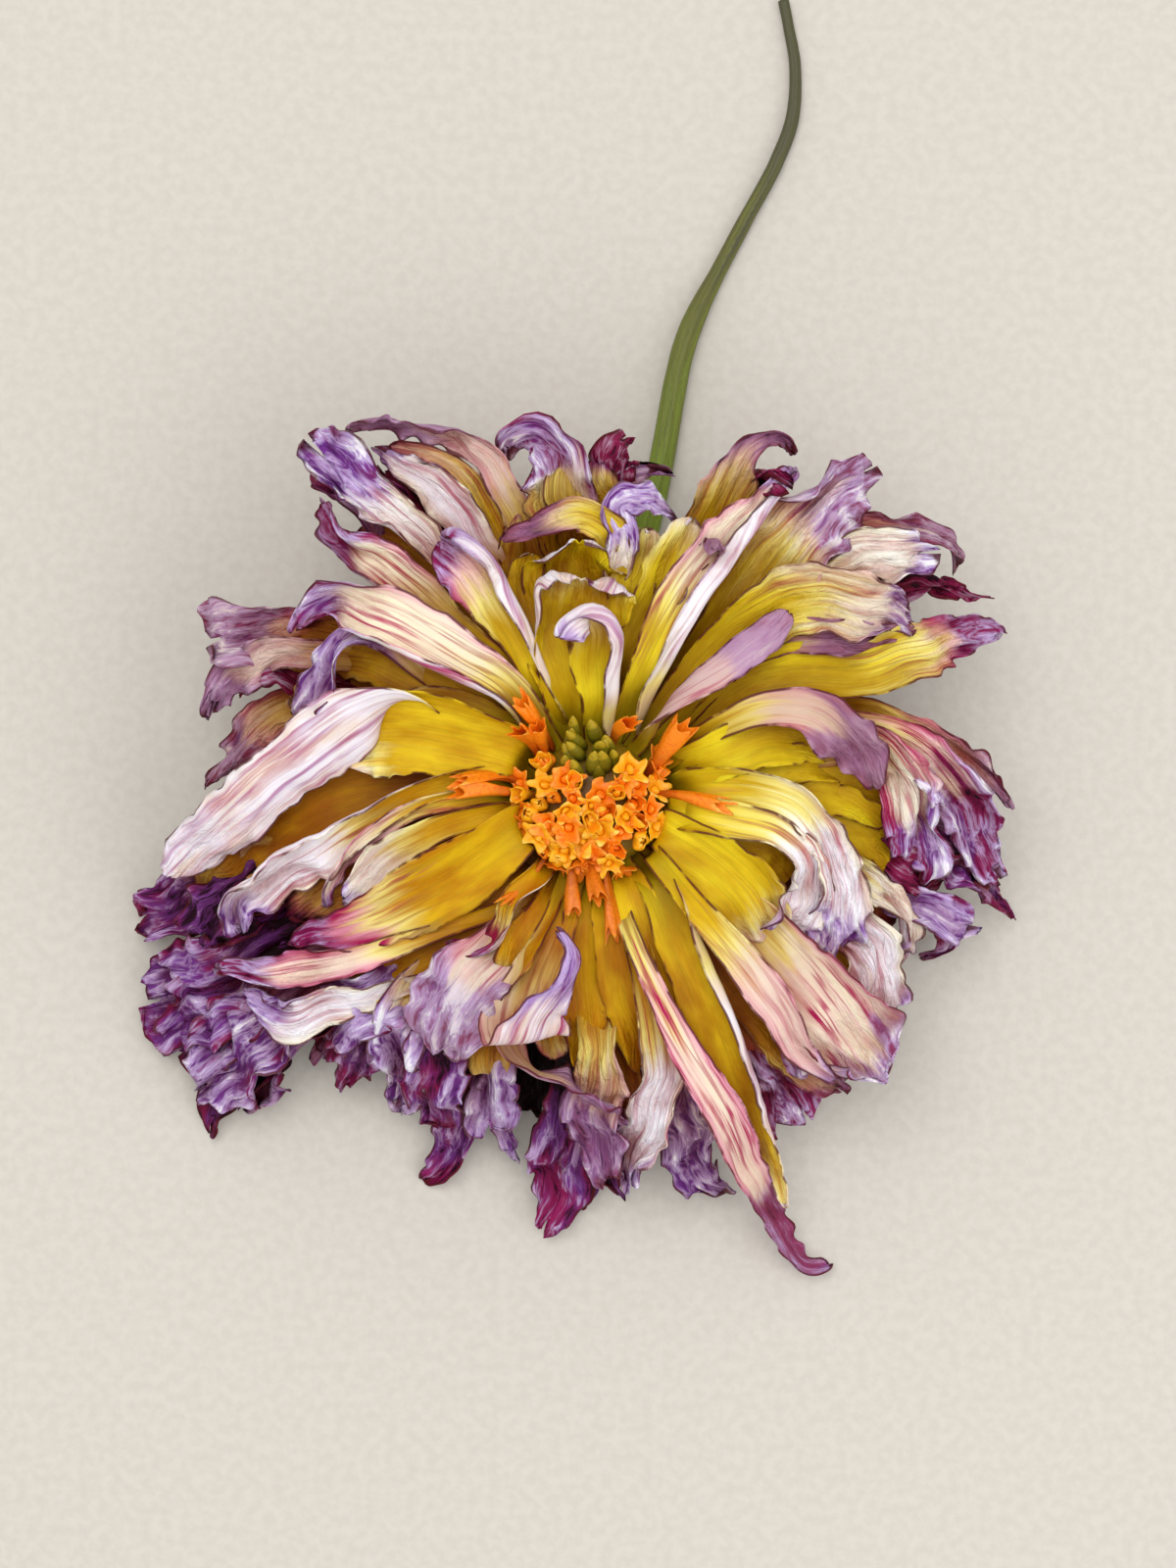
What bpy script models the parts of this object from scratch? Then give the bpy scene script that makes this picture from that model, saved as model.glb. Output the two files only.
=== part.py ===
"""Dinner plate dahlia: a fading, open-centred bloom lying on its back on the cut stem that grew it.

Run with: blender --background --python part.py, or from Blender's text editor.
The frame is in metres, +Z up. The origin is on the resting surface, under the middle of the whole.
The bloom faces up, and its stem leaves the back, bends over and lies along +Y.
Its pieces are laid out in millimetres about the bloom's own middle, with azimuths from +X to +Y.
"""

import math
from collections import namedtuple
from functools import partial

import bmesh
import bpy
import numpy as np
from mathutils import Matrix, Vector
from mathutils.bvhtree import BVHTree

MM = 0.001
BLOOM_X = 5.3
BLOOM_Y = -41.5
GAP = 0.3
UP = (0.0, 0.0, 1.0)
FORWARD = (0.0, 1.0, 0.0)
GOLDEN_ANGLE = math.radians(137.508)

# Blades: petals and bracts
BLADE_THICKNESS = 1.0
STATIONS = (0.0, 0.18, 0.38, 0.56, 0.73, 0.88, 1.0)
COLUMNS = 3
CLAW_WIDTH = 0.26
TIP_WIDTH = 0.08
CLAW_DEPTH = 6.0
WAVE_HEIGHT = 2.6

# Receptacle, where the petals are seated in five rings
RING_RADIUS = (14.5, 15.2, 15.6, 15.4, 14.6)
RING_HEIGHT = (44.5, 42.0, 39.0, 36.0, 33.3)
CORE_PROFILE = ((12.0, 31.0), (14.2, 33.5), (15.0, 39.0), (14.2, 46.2), (13.2, 47.2))
CORE_SIDES = 20

# Disc of small florets on its low dome, with a patch of closed buds
DISC_BASE = CORE_PROFILE[-1][1] + GAP
DISC_RADIUS = 12.8
DISC_RISE = 5.5
DISC_STEPS = (0.97, 0.85, 0.65, 0.35)
DISC_SIDES = 20
DISC_FLORETS = 58
FLORET_SINK = 0.6
FLORET_LENGTH = 8.0
FLORET_RADIUS = 0.8
FLORET_NECK = 0.6
FLORET_THROAT = 0.8
STAR_OUTER = 2.3
STAR_NOTCH = 0.9
FLORET_LEAN = 38.0
FLORET_SPLAYS = ((270.0, 36.0, 74.0, 19.0), (178.0, 18.0, 66.0, 17.0), (32.0, 26.0, 56.0, 13.0))
SPLAY_FROM = 0.74
LEAN_STEP = 4.0
PATCH_X = -0.5
PATCH_Y = 5.4
PATCH_PROFILE = ((5.2, 0.0), (5.0, 4.6), (3.3, 7.0), (1.0, 7.8))
BUDS = 12
BUD_PROFILE = ((1.0, 0.0), (1.45, 2.5), (0.5, 4.6))
BUD_SIDES = 5
BUD_SINK = 0.3
BUD_LEAN = 14.0

# Calyx: a cup under the petals, with inner bracts spread beneath them and outer bracts bent back
CALYX_TOP = CORE_PROFILE[0][1] - GAP
CALYX_PROFILE = ((12.4, CALYX_TOP), (13.4, 29.4), (11.6, 26.6), (7.0, 24.2), (4.2, 23.3))
CALYX_SIDES = 16
BRACT_CUP = 25
BRACT_CRUMPLE = 0.2
OUTER_BRACTS = 5
OUTER_BRACT_START = 54.0
OUTER_BRACT = (9.5, (7.0, 26.6), (11.5, 26.4), (17.0, 25.0), (25.0, 19.5), (30.0, 11.0))
INNER_BRACTS = 7
INNER_BRACT_START = 22.0
INNER_BRACT = (10.5, (7.0, 28.0), (12.0, 28.4), (16.0, 28.8), (21.0, 28.9), (26.0, 27.6))

# Stem: where it bends over, as (x, y, height, radius), and where it lies, as (x, y, radius)
STEM_TOP = CALYX_PROFILE[-1][1] - GAP
STEM_BEND = (
    (0.0, 0.0, STEM_TOP, 3.6),
    (0.0, 0.2, 20.3, 3.2),
    (0.2, 3.2, 14.0, 3.0),
    (1.2, 10.5, 7.8, 3.0),
    (3.6, 24.0, 3.9, 3.0),
)
STEM_LYING = (
    (8.0, 45.0, 3.0),
    (15.2, 75.2, 2.85),
    (20.9, 104.7, 2.65),
    (24.4, 114.0, 2.4),
    (29.0, 123.0, 1.8),
    (35.6, 135.5, 1.7),
    (42.7, 148.8, 1.65),
    (46.4, 159.0, 1.55),
    (47.0, 171.3, 1.35),
    (45.5, 180.4, 1.25),
    (44.2, 187.0, 1.25),
)
STEM_SIDES = 8
STEM_STATIONS = 28
STEM_SETTLE = 0.15

Petal = namedtuple("Petal", "name ring width root path roll cup crumple")
Bract = namedtuple("Bract", "width roll cup crumple")

# Each row: name, ring, width, azimuth of its root, (azimuth, radius, height) at its middle, bend and tip,
# roll in degrees at the same three places, cupping of its section, and how far its end is crumpled.
PETALS = (
    Petal("n_hook", 0, 19, 80, ((84, 31, 58), (89, 43.5, 66), (101, 40, 66)), (0, 10, 0), 40, 0.1),
    Petal("n_rim", 1, 25, 95, ((97, 37, 55), (93, 56, 61), (80, 70, 60)), (0, 10, 50), 40, 0.4),
    Petal("n_cream", 1, 24, 70, ((72, 42, 53), (74, 58, 54), (73, 71, 49)), (0, 0, 10), 30, 0.3),
    Petal("n_white_roll", 1, 19, 57, ((60, 42, 55), (60, 66, 60), (62, 83, 58)), (0, -25, -60), 40, 0.3),
    Petal("n_lilac_blade", 0, 14, 52, ((46, 34, 57), (43, 48, 62), (42, 60, 62)), (120, 150, 160), 25, 0.1),
    Petal("ne_folded", 2, 20, 52, ((53, 50, 50), (52, 76, 51), (50, 98, 45)), (0, 0, 15), 35, 0.4),
    Petal("n_brown_arch", 3, 18, 64, ((69, 52, 46), (67, 80, 52), (59, 86, 53)), (0, -10, 60), 25, 0.6),
    Petal("n_yellow_back", 2, 26, 93, ((94, 42, 50), (94, 60, 55), (108, 63, 58)), (0, 0, 60), 25, 0.3),
    Petal("n_tall_back", 3, 27, 93, ((93, 48, 45), (90, 70, 50), (86, 87, 47)), (0, 0, 20), 20, 0.7),
    Petal("n_lilac_curl", 3, 15, 104, ((105, 52, 43), (102, 78, 50), (97, 82, 52)), (0, -20, -100), 20, 0.7),
    Petal("nw_long_thin", 3, 14, 112, ((111, 58, 46), (112, 82, 49), (122, 101, 43)), (0, -30, -60), 30, 0.6),
    Petal("nw_turned_tip", 1, 16, 118, ((120, 45, 56), (121, 67, 62), (108, 50, 68)), (0, 0, 0), 25, 0.3),
    Petal("nw_striped", 2, 22, 123, ((125, 48, 50), (127, 76, 50), (129, 103, 40)), (0, 0, 20), 25, 0.7),
    Petal("nw_long_pink", 1, 18, 127, ((131, 45, 55), (134, 72, 54), (131, 98, 42)), (0, -20, -50), 30, 0.4),
    Petal("nw_arched", 0, 17, 138, ((140, 40, 57), (144, 62, 60), (151, 80, 47)), (0, -20, -50), 35, 0.3),
    Petal("w_blunt", 3, 17, 152, ((153, 50, 44), (154, 74, 40), (156, 99, 31)), (0, 0, 30), 25, 0.6),
    Petal("w_claw", 3, 15, 158, ((159, 54, 42), (159, 80, 42), (168, 92, 27)), (0, -20, -60), 30, 0.6),
    Petal("w_behind", 4, 16, 168, ((168, 48, 30), (171, 70, 24), (178, 86, 10)), (0, 20, 60), 20, 0.7),
    Petal("w_turned_over", 1, 22, 165, ((165, 40, 52), (165, 60, 55), (190, 99, 24)), (0, 60, 160), 20, 0.25),
    Petal("w_white", 1, 15, 180, ((185, 42, 49), (189, 65, 46), (194, 87, 33)), (0, -30, -60), 50, 0.4),
    Petal("w_cream", 0, 15, 190, ((194, 38, 51), (199, 54, 48), (204, 68, 42)), (0, -30, -60), 50, 0.3),
    Petal("sw_green_gold", 1, 22, 205, ((205, 38, 49), (206, 60, 43), (203, 90, 27)), (0, 0, 20), 35, 0.4),
    Petal("sw_pink_long", 2, 15, 216, ((214, 48, 43), (210, 70, 38), (207, 93, 28)), (0, -20, -30), 40, 0.5),
    Petal("sw_white_fold", 2, 16, 225, ((222, 46, 44), (218, 66, 41), (210, 90, 28)), (0, -40, -90), 40, 0.5),
    Petal("w_purple_ear", 4, 22, 193, ((193, 55, 24), (194, 85, 14), (195, 112, 1)), (0, 0, 20), 20, 1.0),
    Petal("w_purple_mid", 3, 24, 197, ((196, 55, 33), (197, 80, 26), (200, 97, 16)), (0, 0, 20), 20, 1.0),
    Petal("sw_purple_wide", 4, 30, 204, ((204, 58, 24), (205, 88, 14), (206, 115, 0)), (0, 0, 0), 15, 1.0),
    Petal("sw_purple_pale", 3, 27, 212, ((211, 58, 30), (212, 86, 20), (214, 111, 5)), (0, 0, 0), 15, 1.0),
    Petal("sw_purple_tail", 4, 19, 218, ((217, 60, 20), (218, 88, 9), (220, 112, 0)), (0, 0, 30), 20, 0.9),
    Petal("sw_grey_lilac", 3, 22, 225, ((222, 56, 30), (224, 74, 22), (225, 90, 12)), (0, 0, 0), 15, 0.9),
    Petal("s_fan_turned", 0, 19, 250, ((249, 42, 50), (257, 53, 58), (257, 29, 66)), (0, 0, 0), 20, 0.3),
    Petal("sw_pleated_hump", 1, 24, 238, ((240, 42, 46), (237, 56, 48), (240, 76, 28)), (0, 0, 0), 15, 0.8),
    Petal("sw_lilac_drop", 2, 18, 232, ((231, 50, 41), (231, 66, 34), (234, 86, 13)), (0, 0, 0), 15, 0.9),
    Petal("s_hanging_left", 3, 22, 247, ((246, 52, 32), (246, 72, 20), (245, 93, 3)), (0, 0, 20), 20, 0.9),
    Petal("s_dark_tail", 4, 21, 262, ((262, 50, 22), (263, 74, 10), (264, 98, 0)), (0, 0, 30), 20, 0.9),
    Petal("s_crossing", 2, 14, 255, ((255, 48, 41), (261, 62, 38), (276, 69, 30)), (0, -40, -100), 20, 0.5),
    Petal("s_gold_mid", 1, 17, 270, ((270, 40, 46), (269, 56, 42), (269, 70, 34)), (0, 0, 0), 30, 0.3),
    Petal("s_purple_knot", 3, 20, 271, ((271, 50, 34), (271, 68, 27), (273, 84, 14)), (0, 0, 0), 20, 0.9),
    Petal("s_white_knot", 1, 18, 279, ((279, 42, 47), (281, 62, 40), (277, 83, 26)), (0, 20, 90), 40, 0.6),
    Petal("se_long_tail", 1, 15, 284, ((287, 44, 49), (292, 76, 42), (297, 116, 1)), (0, -20, -40), 35, 0.3),
    Petal("s_magenta_curl", 3, 20, 284, ((284, 54, 31), (285, 76, 17), (289, 92, 3)), (0, 0, 40), 20, 0.9),
    Petal("se_long_gold", 1, 19, 298, ((300, 44, 50), (300, 68, 44), (298, 95, 26)), (0, 15, 30), 35, 0.3),
    Petal("se_magenta_ruffle", 3, 24, 309, ((307, 50, 32), (306, 70, 20), (306, 87, 8)), (0, 0, 0), 15, 1.0),
    Petal("se_beige", 1, 15, 316, ((315, 42, 48), (311, 64, 44), (308, 81, 33)), (0, 20, 40), 30, 0.3),
    Petal("se_pink_scoop", 1, 26, 324, ((322, 45, 48), (320, 70, 43), (317, 94, 26)), (0, 0, 0), 45, 0.3),
    Petal("e_gold_low", 0, 20, 336, ((334, 34, 50), (331, 44, 49), (328, 55, 44)), (0, 0, 0), 25, 0.2),
    Petal("e_white_drape", 2, 19, 342, ((341, 48, 45), (335, 70, 38), (321, 84, 20)), (0, -10, -20), 20, 0.8),
    Petal("e_narrow_low", 0, 20, 352, ((352, 38, 51), (344, 50, 47), (325, 56, 35)), (0, -20, -80), 30, 0.4),
    Petal("e_narrow_tip", 1, 19, 1, ((0, 42, 51), (349, 56, 46), (327, 65, 28)), (0, -20, -80), 30, 0.4),
    Petal("e_purple_point", 4, 20, 357, ((358, 56, 24), (354, 86, 14), (344, 99, 0)), (0, 0, 30), 20, 0.9),
    Petal("e_cream_ridge", 2, 21, 7, ((7, 58, 44), (1, 80, 36), (350, 86, 16)), (0, 0, 0), 15, 1.0),
    Petal("e_lilac_drape", 1, 21, 13, ((12, 46, 52), (7, 68, 47), (347, 77, 22)), (0, 0, 0), 20, 0.8),
    Petal("e_outer_brown", 3, 14, 18, ((17, 56, 40), (10, 82, 36), (358, 98, 24)), (0, 0, 40), 25, 0.6),
    Petal("e_folded_lilac", 0, 17, 27, ((26, 38, 56), (18, 57, 58), (2, 63, 43)), (0, -60, -130), 20, 0.25),
    Petal("ne_long_gold", 1, 23, 31, ((29, 48, 53), (25, 78, 45), (22, 101, 30)), (0, 0, 10), 30, 0.35),
    Petal("ne_brown_fork", 3, 18, 34, ((33, 56, 42), (31, 84, 34), (27, 102, 25)), (0, 10, 40), 20, 0.8),
    Petal("ne_cream_back", 1, 20, 42, ((42, 42, 53), (38, 70, 58), (32, 88, 46)), (30, 150, 190), 15, 0.4),
    Petal("ne_white_crumple", 3, 18, 42, ((42, 56, 44), (41, 82, 42), (36, 102, 30)), (0, -20, 20), 20, 0.9),
    Petal("ne_brown_strap", 3, 13, 48, ((48, 56, 45), (46, 84, 46), (37, 100, 36)), (0, -30, -60), 25, 0.7),
)


def clear_scene():
    """Removes what an opened file holds."""
    for obj in list(bpy.data.objects):
        bpy.data.objects.remove(obj, do_unlink=True)


def finish_material(name, color, roughness):
    """A plain Principled material of one colour."""
    material = bpy.data.materials.new(name)
    material.use_nodes = True
    shader = material.node_tree.nodes["Principled BSDF"]
    shader.inputs["Base Color"].default_value = (*color, 1.0)
    shader.inputs["Roughness"].default_value = roughness
    shader.inputs["Metallic"].default_value = 0.0
    return material


def petal_material():
    """Ray petals: ochre gold, which stands here for the gold, cream and purple of the real ones."""
    return finish_material("petal_tissue", (0.55, 0.36, 0.05), 0.55)


def floret_material():
    """Open disc florets: orange."""
    return finish_material("floret_orange", (0.85, 0.34, 0.02), 0.6)


def bud_material():
    """Closed disc florets: dark olive green."""
    return finish_material("bud_green", (0.12, 0.15, 0.02), 0.5)


def calyx_material():
    """Bracts and the cup that carries them: dry green."""
    return finish_material("calyx_green", (0.16, 0.22, 0.05), 0.6)


def stem_material():
    """Stem: green that turns brown towards the cut."""
    return finish_material("stem_green", (0.20, 0.27, 0.05), 0.5)


def smoothstep(x):
    """Eases x from 0 to 1."""
    x = np.clip(x, 0.0, 1.0)
    return x * x * (3.0 - 2.0 * x)


def on_bloom(azimuth, radius, height):
    """A point about the bloom's middle, in millimetres."""
    a = math.radians(azimuth)
    return np.array([radius * math.cos(a), radius * math.sin(a), height])


def smooth_line(knots, samples=40):
    """A smooth line through the knots: fine points, and the run along it at each point."""
    steps = np.linalg.norm(np.diff(knots, axis=0), axis=1) ** 0.5
    t = np.concatenate([[0.0], np.cumsum(steps)])
    slopes = np.zeros_like(knots)
    for i in range(1, len(knots) - 1):
        before = (knots[i] - knots[i - 1]) / (t[i] - t[i - 1])
        after = (knots[i + 1] - knots[i]) / (t[i + 1] - t[i])
        share = (t[i] - t[i - 1]) / (t[i + 1] - t[i - 1])
        slopes[i] = before * (1.0 - share) + after * share
    slopes[0] = (knots[1] - knots[0]) / (t[1] - t[0])
    slopes[-1] = 1.5 * (knots[-1] - knots[-2]) / (t[-1] - t[-2]) - 0.5 * slopes[-2]
    s = np.linspace(0.0, 1.0, samples, endpoint=False)[:, None]
    spans = []
    for i in range(len(knots) - 1):
        h = t[i + 1] - t[i]
        span = (2 * s**3 - 3 * s**2 + 1) * knots[i] + (s**3 - 2 * s**2 + s) * h * slopes[i]
        span += (3 * s**2 - 2 * s**3) * knots[i + 1] + (s**3 - s**2) * h * slopes[i + 1]
        spans.append(span)
    spans.append(knots[-1:])
    fine = np.concatenate(spans)
    run = np.concatenate([[0.0], np.cumsum(np.linalg.norm(np.diff(fine, axis=0), axis=1))])
    return fine, run / run[-1], run[::samples] / run[-1]


def carried_frame(line, roll, start):
    """Upper-face normal and sideways direction along a line, carried without twist and then rolled."""
    tangent = np.gradient(line, axis=0)
    tangent /= np.linalg.norm(tangent, axis=1)[:, None]
    normal = np.zeros_like(line)
    carried = np.array(start)
    for i, t in enumerate(tangent):
        carried = carried - t * (carried @ t)
        carried /= np.linalg.norm(carried)
        normal[i] = carried
    side = np.cross(tangent, normal)
    c = np.cos(roll)[:, None]
    s = np.sin(roll)[:, None]
    return normal * c + side * s, side * c - normal * s


def at_stations(values, u_fine):
    """Values along the fine line, read at the blade's stations."""
    return np.stack([np.interp(STATIONS, u_fine, values[:, k]) for k in range(3)], axis=1)


def blade_points(blade, knots, phase):
    """A blade's middle surface: rows of points in millimetres, from its root to its tip."""
    fine, u_fine, u_knots = smooth_line(knots)
    roll = np.radians(np.interp(u_fine, (0.0, *u_knots[-3:]), (0.0, *blade.roll)))
    normal, side = carried_frame(fine, roll, UP)
    line = at_stations(fine, u_fine)
    normal = at_stations(normal, u_fine)
    side = at_stations(side, u_fine)
    u = np.array(STATIONS)
    claw = CLAW_WIDTH + (1.0 - CLAW_WIDTH) * smoothstep(u / 0.5)
    end = (1.0 - np.clip((u - 0.55) / 0.45, 0.0, 1.0) ** 2.4) ** 0.62
    half = 0.5 * blade.width * claw * (TIP_WIDTH + (1.0 - TIP_WIDTH) * end)
    bend = np.radians(blade.cup) * (1.2 - 0.4 * smoothstep(u * 1.6))
    v = np.linspace(-1.0, 1.0, COLUMNS)
    arc = (half / bend)[:, None]
    across = arc * np.sin(bend[:, None] * v)
    lift = arc * (1.0 - np.cos(bend[:, None] * v))
    wave = WAVE_HEIGHT * blade.crumple * smoothstep((u - 0.45) / 0.4)
    lift += wave[:, None] * np.sin(9.0 * u[:, None] + 2.6 * v + phase)
    return line[:, None] + side[:, None] * across[..., None] + normal[:, None] * lift[..., None]


def petal_points(petal, order):
    """The middle surface of one charted petal, which comes to rest where it meets the surface below."""
    radius = RING_RADIUS[petal.ring]
    height = RING_HEIGHT[petal.ring]
    knots = [on_bloom(petal.root, radius - CLAW_DEPTH, height - 1.0)]
    knots.append(on_bloom(petal.root, radius + 1.0, height + 0.8))
    knots += [on_bloom(*place) for place in petal.path]
    points = blade_points(petal, np.array(knots), order * 2.4)
    points[..., 2] = np.maximum(points[..., 2], BLADE_THICKNESS / 2)
    return points


def sheet_normals(points):
    """The normal of a grid of points at each point."""
    along = np.gradient(points, axis=0)
    across = np.gradient(points, axis=1)
    normal = np.cross(across, along)
    return normal / np.linalg.norm(normal, axis=2)[..., None]


def blade_body(points, thickness):
    """A closed blade about the points, split into triangles alike on both faces."""
    offset = sheet_normals(points) * thickness / 2
    rows, columns = points.shape[:2]
    bm = bmesh.new()
    upper = [[bm.verts.new(p) for p in row] for row in points + offset]
    lower = [[bm.verts.new(p) for p in row] for row in points - offset]
    for i in range(rows - 1):
        for j in range(columns - 1):
            corners = ((i, j), (i + 1, j), (i + 1, j + 1), (i, j + 1))
            if (i + j) % 2:
                corners = corners[1:] + corners[:1]
            for triple in ((0, 1, 2), (0, 2, 3)):
                places = [corners[k] for k in triple]
                bm.faces.new([upper[r][c] for r, c in places])
                bm.faces.new([lower[r][c] for r, c in reversed(places)])
    rim = [(i, 0) for i in range(rows)] + [(rows - 1, j) for j in range(1, columns)]
    rim += [(i, columns - 1) for i in range(rows - 2, -1, -1)]
    rim += [(0, j) for j in range(columns - 2, 0, -1)]
    for (r0, c0), (r1, c1) in zip(rim, rim[1:] + rim[:1]):
        bm.faces.new((lower[r0][c0], lower[r1][c1], upper[r1][c1]))
        bm.faces.new((lower[r0][c0], upper[r1][c1], upper[r0][c0]))
    bmesh.ops.recalc_face_normals(bm, faces=bm.faces[:])
    return bm


def ringed_body(rings):
    """A closed body lofted through rings of as many points each, its ends closed flat."""
    bm = bmesh.new()
    loops = [[bm.verts.new(p) for p in ring] for ring in rings]
    for low, high in zip(loops, loops[1:]):
        for i in range(len(low)):
            j = (i + 1) % len(low)
            bm.faces.new((low[i], low[j], high[j], high[i]))
    bm.faces.new(loops[0])
    bm.faces.new(loops[-1])
    bmesh.ops.recalc_face_normals(bm, faces=bm.faces[:])
    return bm


def circle(radius, height, sides):
    """Points evenly round an upright axis."""
    turns = [2 * math.pi * i / sides for i in range(sides)]
    return [Vector((radius * math.cos(a), radius * math.sin(a), height)) for a in turns]


def turned_body(profile, sides):
    """A body turned about an upright axis from (radius, height) pairs."""
    return ringed_body([circle(radius, height, sides) for radius, height in profile])


def in_frame(bm):
    """Turns millimetres about the bloom's middle into the part's own frame."""
    bmesh.ops.scale(bm, vec=(MM, MM, MM), verts=bm.verts[:])
    bmesh.ops.translate(bm, vec=(BLOOM_X * MM, BLOOM_Y * MM, 0.0), verts=bm.verts[:])
    return bm


def new_object(name, bm, material):
    """Puts a body into the scene under its own name."""
    mesh = bpy.data.meshes.new(name)
    bm.to_mesh(mesh)
    bm.free()
    mesh.materials.append(material)
    obj = bpy.data.objects.new(name, mesh)
    bpy.context.scene.collection.objects.link(obj)
    return obj


def apply_modifiers(obj):
    """Keeps the evaluated mesh and drops the modifiers."""
    depsgraph = bpy.context.evaluated_depsgraph_get()
    mesh = bpy.data.meshes.new_from_object(obj.evaluated_get(depsgraph))
    obj.modifiers.clear()
    obj.data = mesh


def shell_of(face, seen):
    """All faces joined to a face through their edges."""
    shell = [face]
    seen.add(face)
    for member in shell:
        for edge in member.edges:
            for other in edge.link_faces:
                if other not in seen:
                    seen.add(other)
                    shell.append(other)
    return shell


def keep_outer_shell(obj):
    """Fills the small hollows that fusing has sealed, and drops loose scraps."""
    bm = bmesh.new()
    bm.from_mesh(obj.data)
    seen = set()
    shells = [shell_of(face, seen) for face in bm.faces if face not in seen]
    shells.sort(key=len)
    for shell in shells[:-1]:
        bmesh.ops.delete(bm, geom=shell, context="FACES")
    bm.to_mesh(obj.data)
    bm.free()


def fuse(base, pieces):
    """Joins the pieces to the base in one body."""
    collection = bpy.data.collections.new(base.name + "_pieces")
    bpy.context.scene.collection.children.link(collection)
    for piece in pieces:
        bpy.context.scene.collection.objects.unlink(piece)
        collection.objects.link(piece)
    union = base.modifiers.new("fuse", "BOOLEAN")
    union.operation = "UNION"
    union.operand_type = "COLLECTION"
    union.collection = collection
    union.solver = "MANIFOLD"
    apply_modifiers(base)
    for piece in pieces:
        bpy.data.objects.remove(piece, do_unlink=True)
    bpy.data.collections.remove(collection)
    keep_outer_shell(base)


def carve(base, cutter):
    """Takes the cutter's shape out of the base."""
    cut = base.modifiers.new("carve", "BOOLEAN")
    cut.operation = "DIFFERENCE"
    cut.object = cutter
    apply_modifiers(base)
    bpy.data.objects.remove(cutter, do_unlink=True)


def faces_of(obj):
    """A search tree of an object's faces."""
    bm = bmesh.new()
    bm.from_mesh(obj.data)
    tree = BVHTree.FromBMesh(bm)
    bm.free()
    return tree


def is_clear(bm, trees):
    """Whether a body keeps the gap to every tree of faces."""
    own = BVHTree.FromBMesh(bm)
    for tree in trees:
        if own.overlap(tree):
            return False
        if any(tree.find_nearest(vert.co)[3] < GAP * MM for vert in bm.verts):
            return False
    return True


def planted(make_body, root, azimuth, lean, neighbours):
    """A body planted at its root, leaning outwards as far as its neighbours let it, or None."""
    while lean > -LEAN_STEP:
        bm = make_body()
        turn = Matrix.Rotation(azimuth, 4, "Z") @ Matrix.Rotation(math.radians(lean), 4, "Y")
        bmesh.ops.transform(bm, matrix=Matrix.Translation(root) @ turn, verts=bm.verts[:])
        in_frame(bm)
        if is_clear(bm, neighbours):
            return bm
        bm.free()
        lean -= LEAN_STEP
    return None


def spiral(count, radius):
    """Places of a golden spiral on a round: (azimuth, distance, share of the radius)."""
    for i in range(count):
        share = math.sqrt((i + 0.5) / count)
        yield i * GOLDEN_ANGLE % (2 * math.pi), share * radius, share


def floret_body(length):
    """An open disc floret on the origin: a narrow tube that flares to a five-pointed star."""
    bm = bmesh.new()
    points = circle(STAR_OUTER, length, 5)
    notches = [(a + b) / 2 * STAR_NOTCH for a, b in zip(points, points[1:] + points[:1])]
    foot = [bm.verts.new(c) for c in circle(FLORET_RADIUS, 0.0, 5)]
    neck = [bm.verts.new(c) for c in circle(FLORET_RADIUS, FLORET_NECK * length, 5)]
    star = [bm.verts.new(c) for pair in zip(points, notches) for c in pair]
    throat = bm.verts.new((0.0, 0.0, FLORET_THROAT * length))
    bm.faces.new(foot)
    for i in range(5):
        j = (i + 1) % 5
        bm.faces.new((foot[i], foot[j], neck[j], neck[i]))
        bm.faces.new((neck[i], star[2 * i + 1], star[2 * i]))
        bm.faces.new((neck[i], neck[j], star[2 * i + 1]))
        bm.faces.new((neck[j], star[2 * j], star[2 * i + 1]))
        bm.faces.new((star[2 * i], star[2 * i + 1], throat))
        bm.faces.new((star[2 * i + 1], star[2 * j], throat))
    bmesh.ops.recalc_face_normals(bm, faces=bm.faces[:])
    return bm


def bud_body():
    """A closed disc floret on the origin: a small upright bud."""
    return turned_body(BUD_PROFILE, BUD_SIDES)


def patch_body(foot, margin):
    """The bud patch's mound from a height up, grown outwards by a margin."""
    profile = [(PATCH_PROFILE[0][0] + margin, foot)]
    profile += [(radius + margin, DISC_BASE + height + margin) for radius, height in PATCH_PROFILE[1:]]
    bm = turned_body(profile, DISC_SIDES)
    bmesh.ops.translate(bm, vec=(PATCH_X, PATCH_Y, 0.0), verts=bm.verts[:])
    return in_frame(bm)


def make_petals():
    """All ray petals, seated in the receptacle's core."""
    material = petal_material()
    core = new_object("petals", in_frame(turned_body(CORE_PROFILE, CORE_SIDES)), material)
    blades = []
    for order, petal in enumerate(PETALS):
        body = blade_body(petal_points(petal, order), BLADE_THICKNESS)
        blades.append(new_object(petal.name, in_frame(body), material))
    fuse(core, blades)
    return core


def make_buds(petals):
    """The patch of closed florets on its own small mound."""
    material = bud_material()
    mound = new_object("floret_buds", patch_body(DISC_BASE, 0.0), material)
    neighbours = [faces_of(petals)]
    buds = []
    radii, heights = zip(*reversed(PATCH_PROFILE[1:]))
    for azimuth, distance, share in spiral(BUDS, PATCH_PROFILE[1][0] - BUD_PROFILE[0][0] / 2):
        root = Vector((PATCH_X, PATCH_Y, DISC_BASE + np.interp(distance, radii, heights) - BUD_SINK))
        root += Vector((distance * math.cos(azimuth), distance * math.sin(azimuth), 0.0))
        body = planted(bud_body, root, azimuth, BUD_LEAN * share, neighbours)
        buds.append(new_object("bud", body, material))
    fuse(mound, buds)
    return mound


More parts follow.
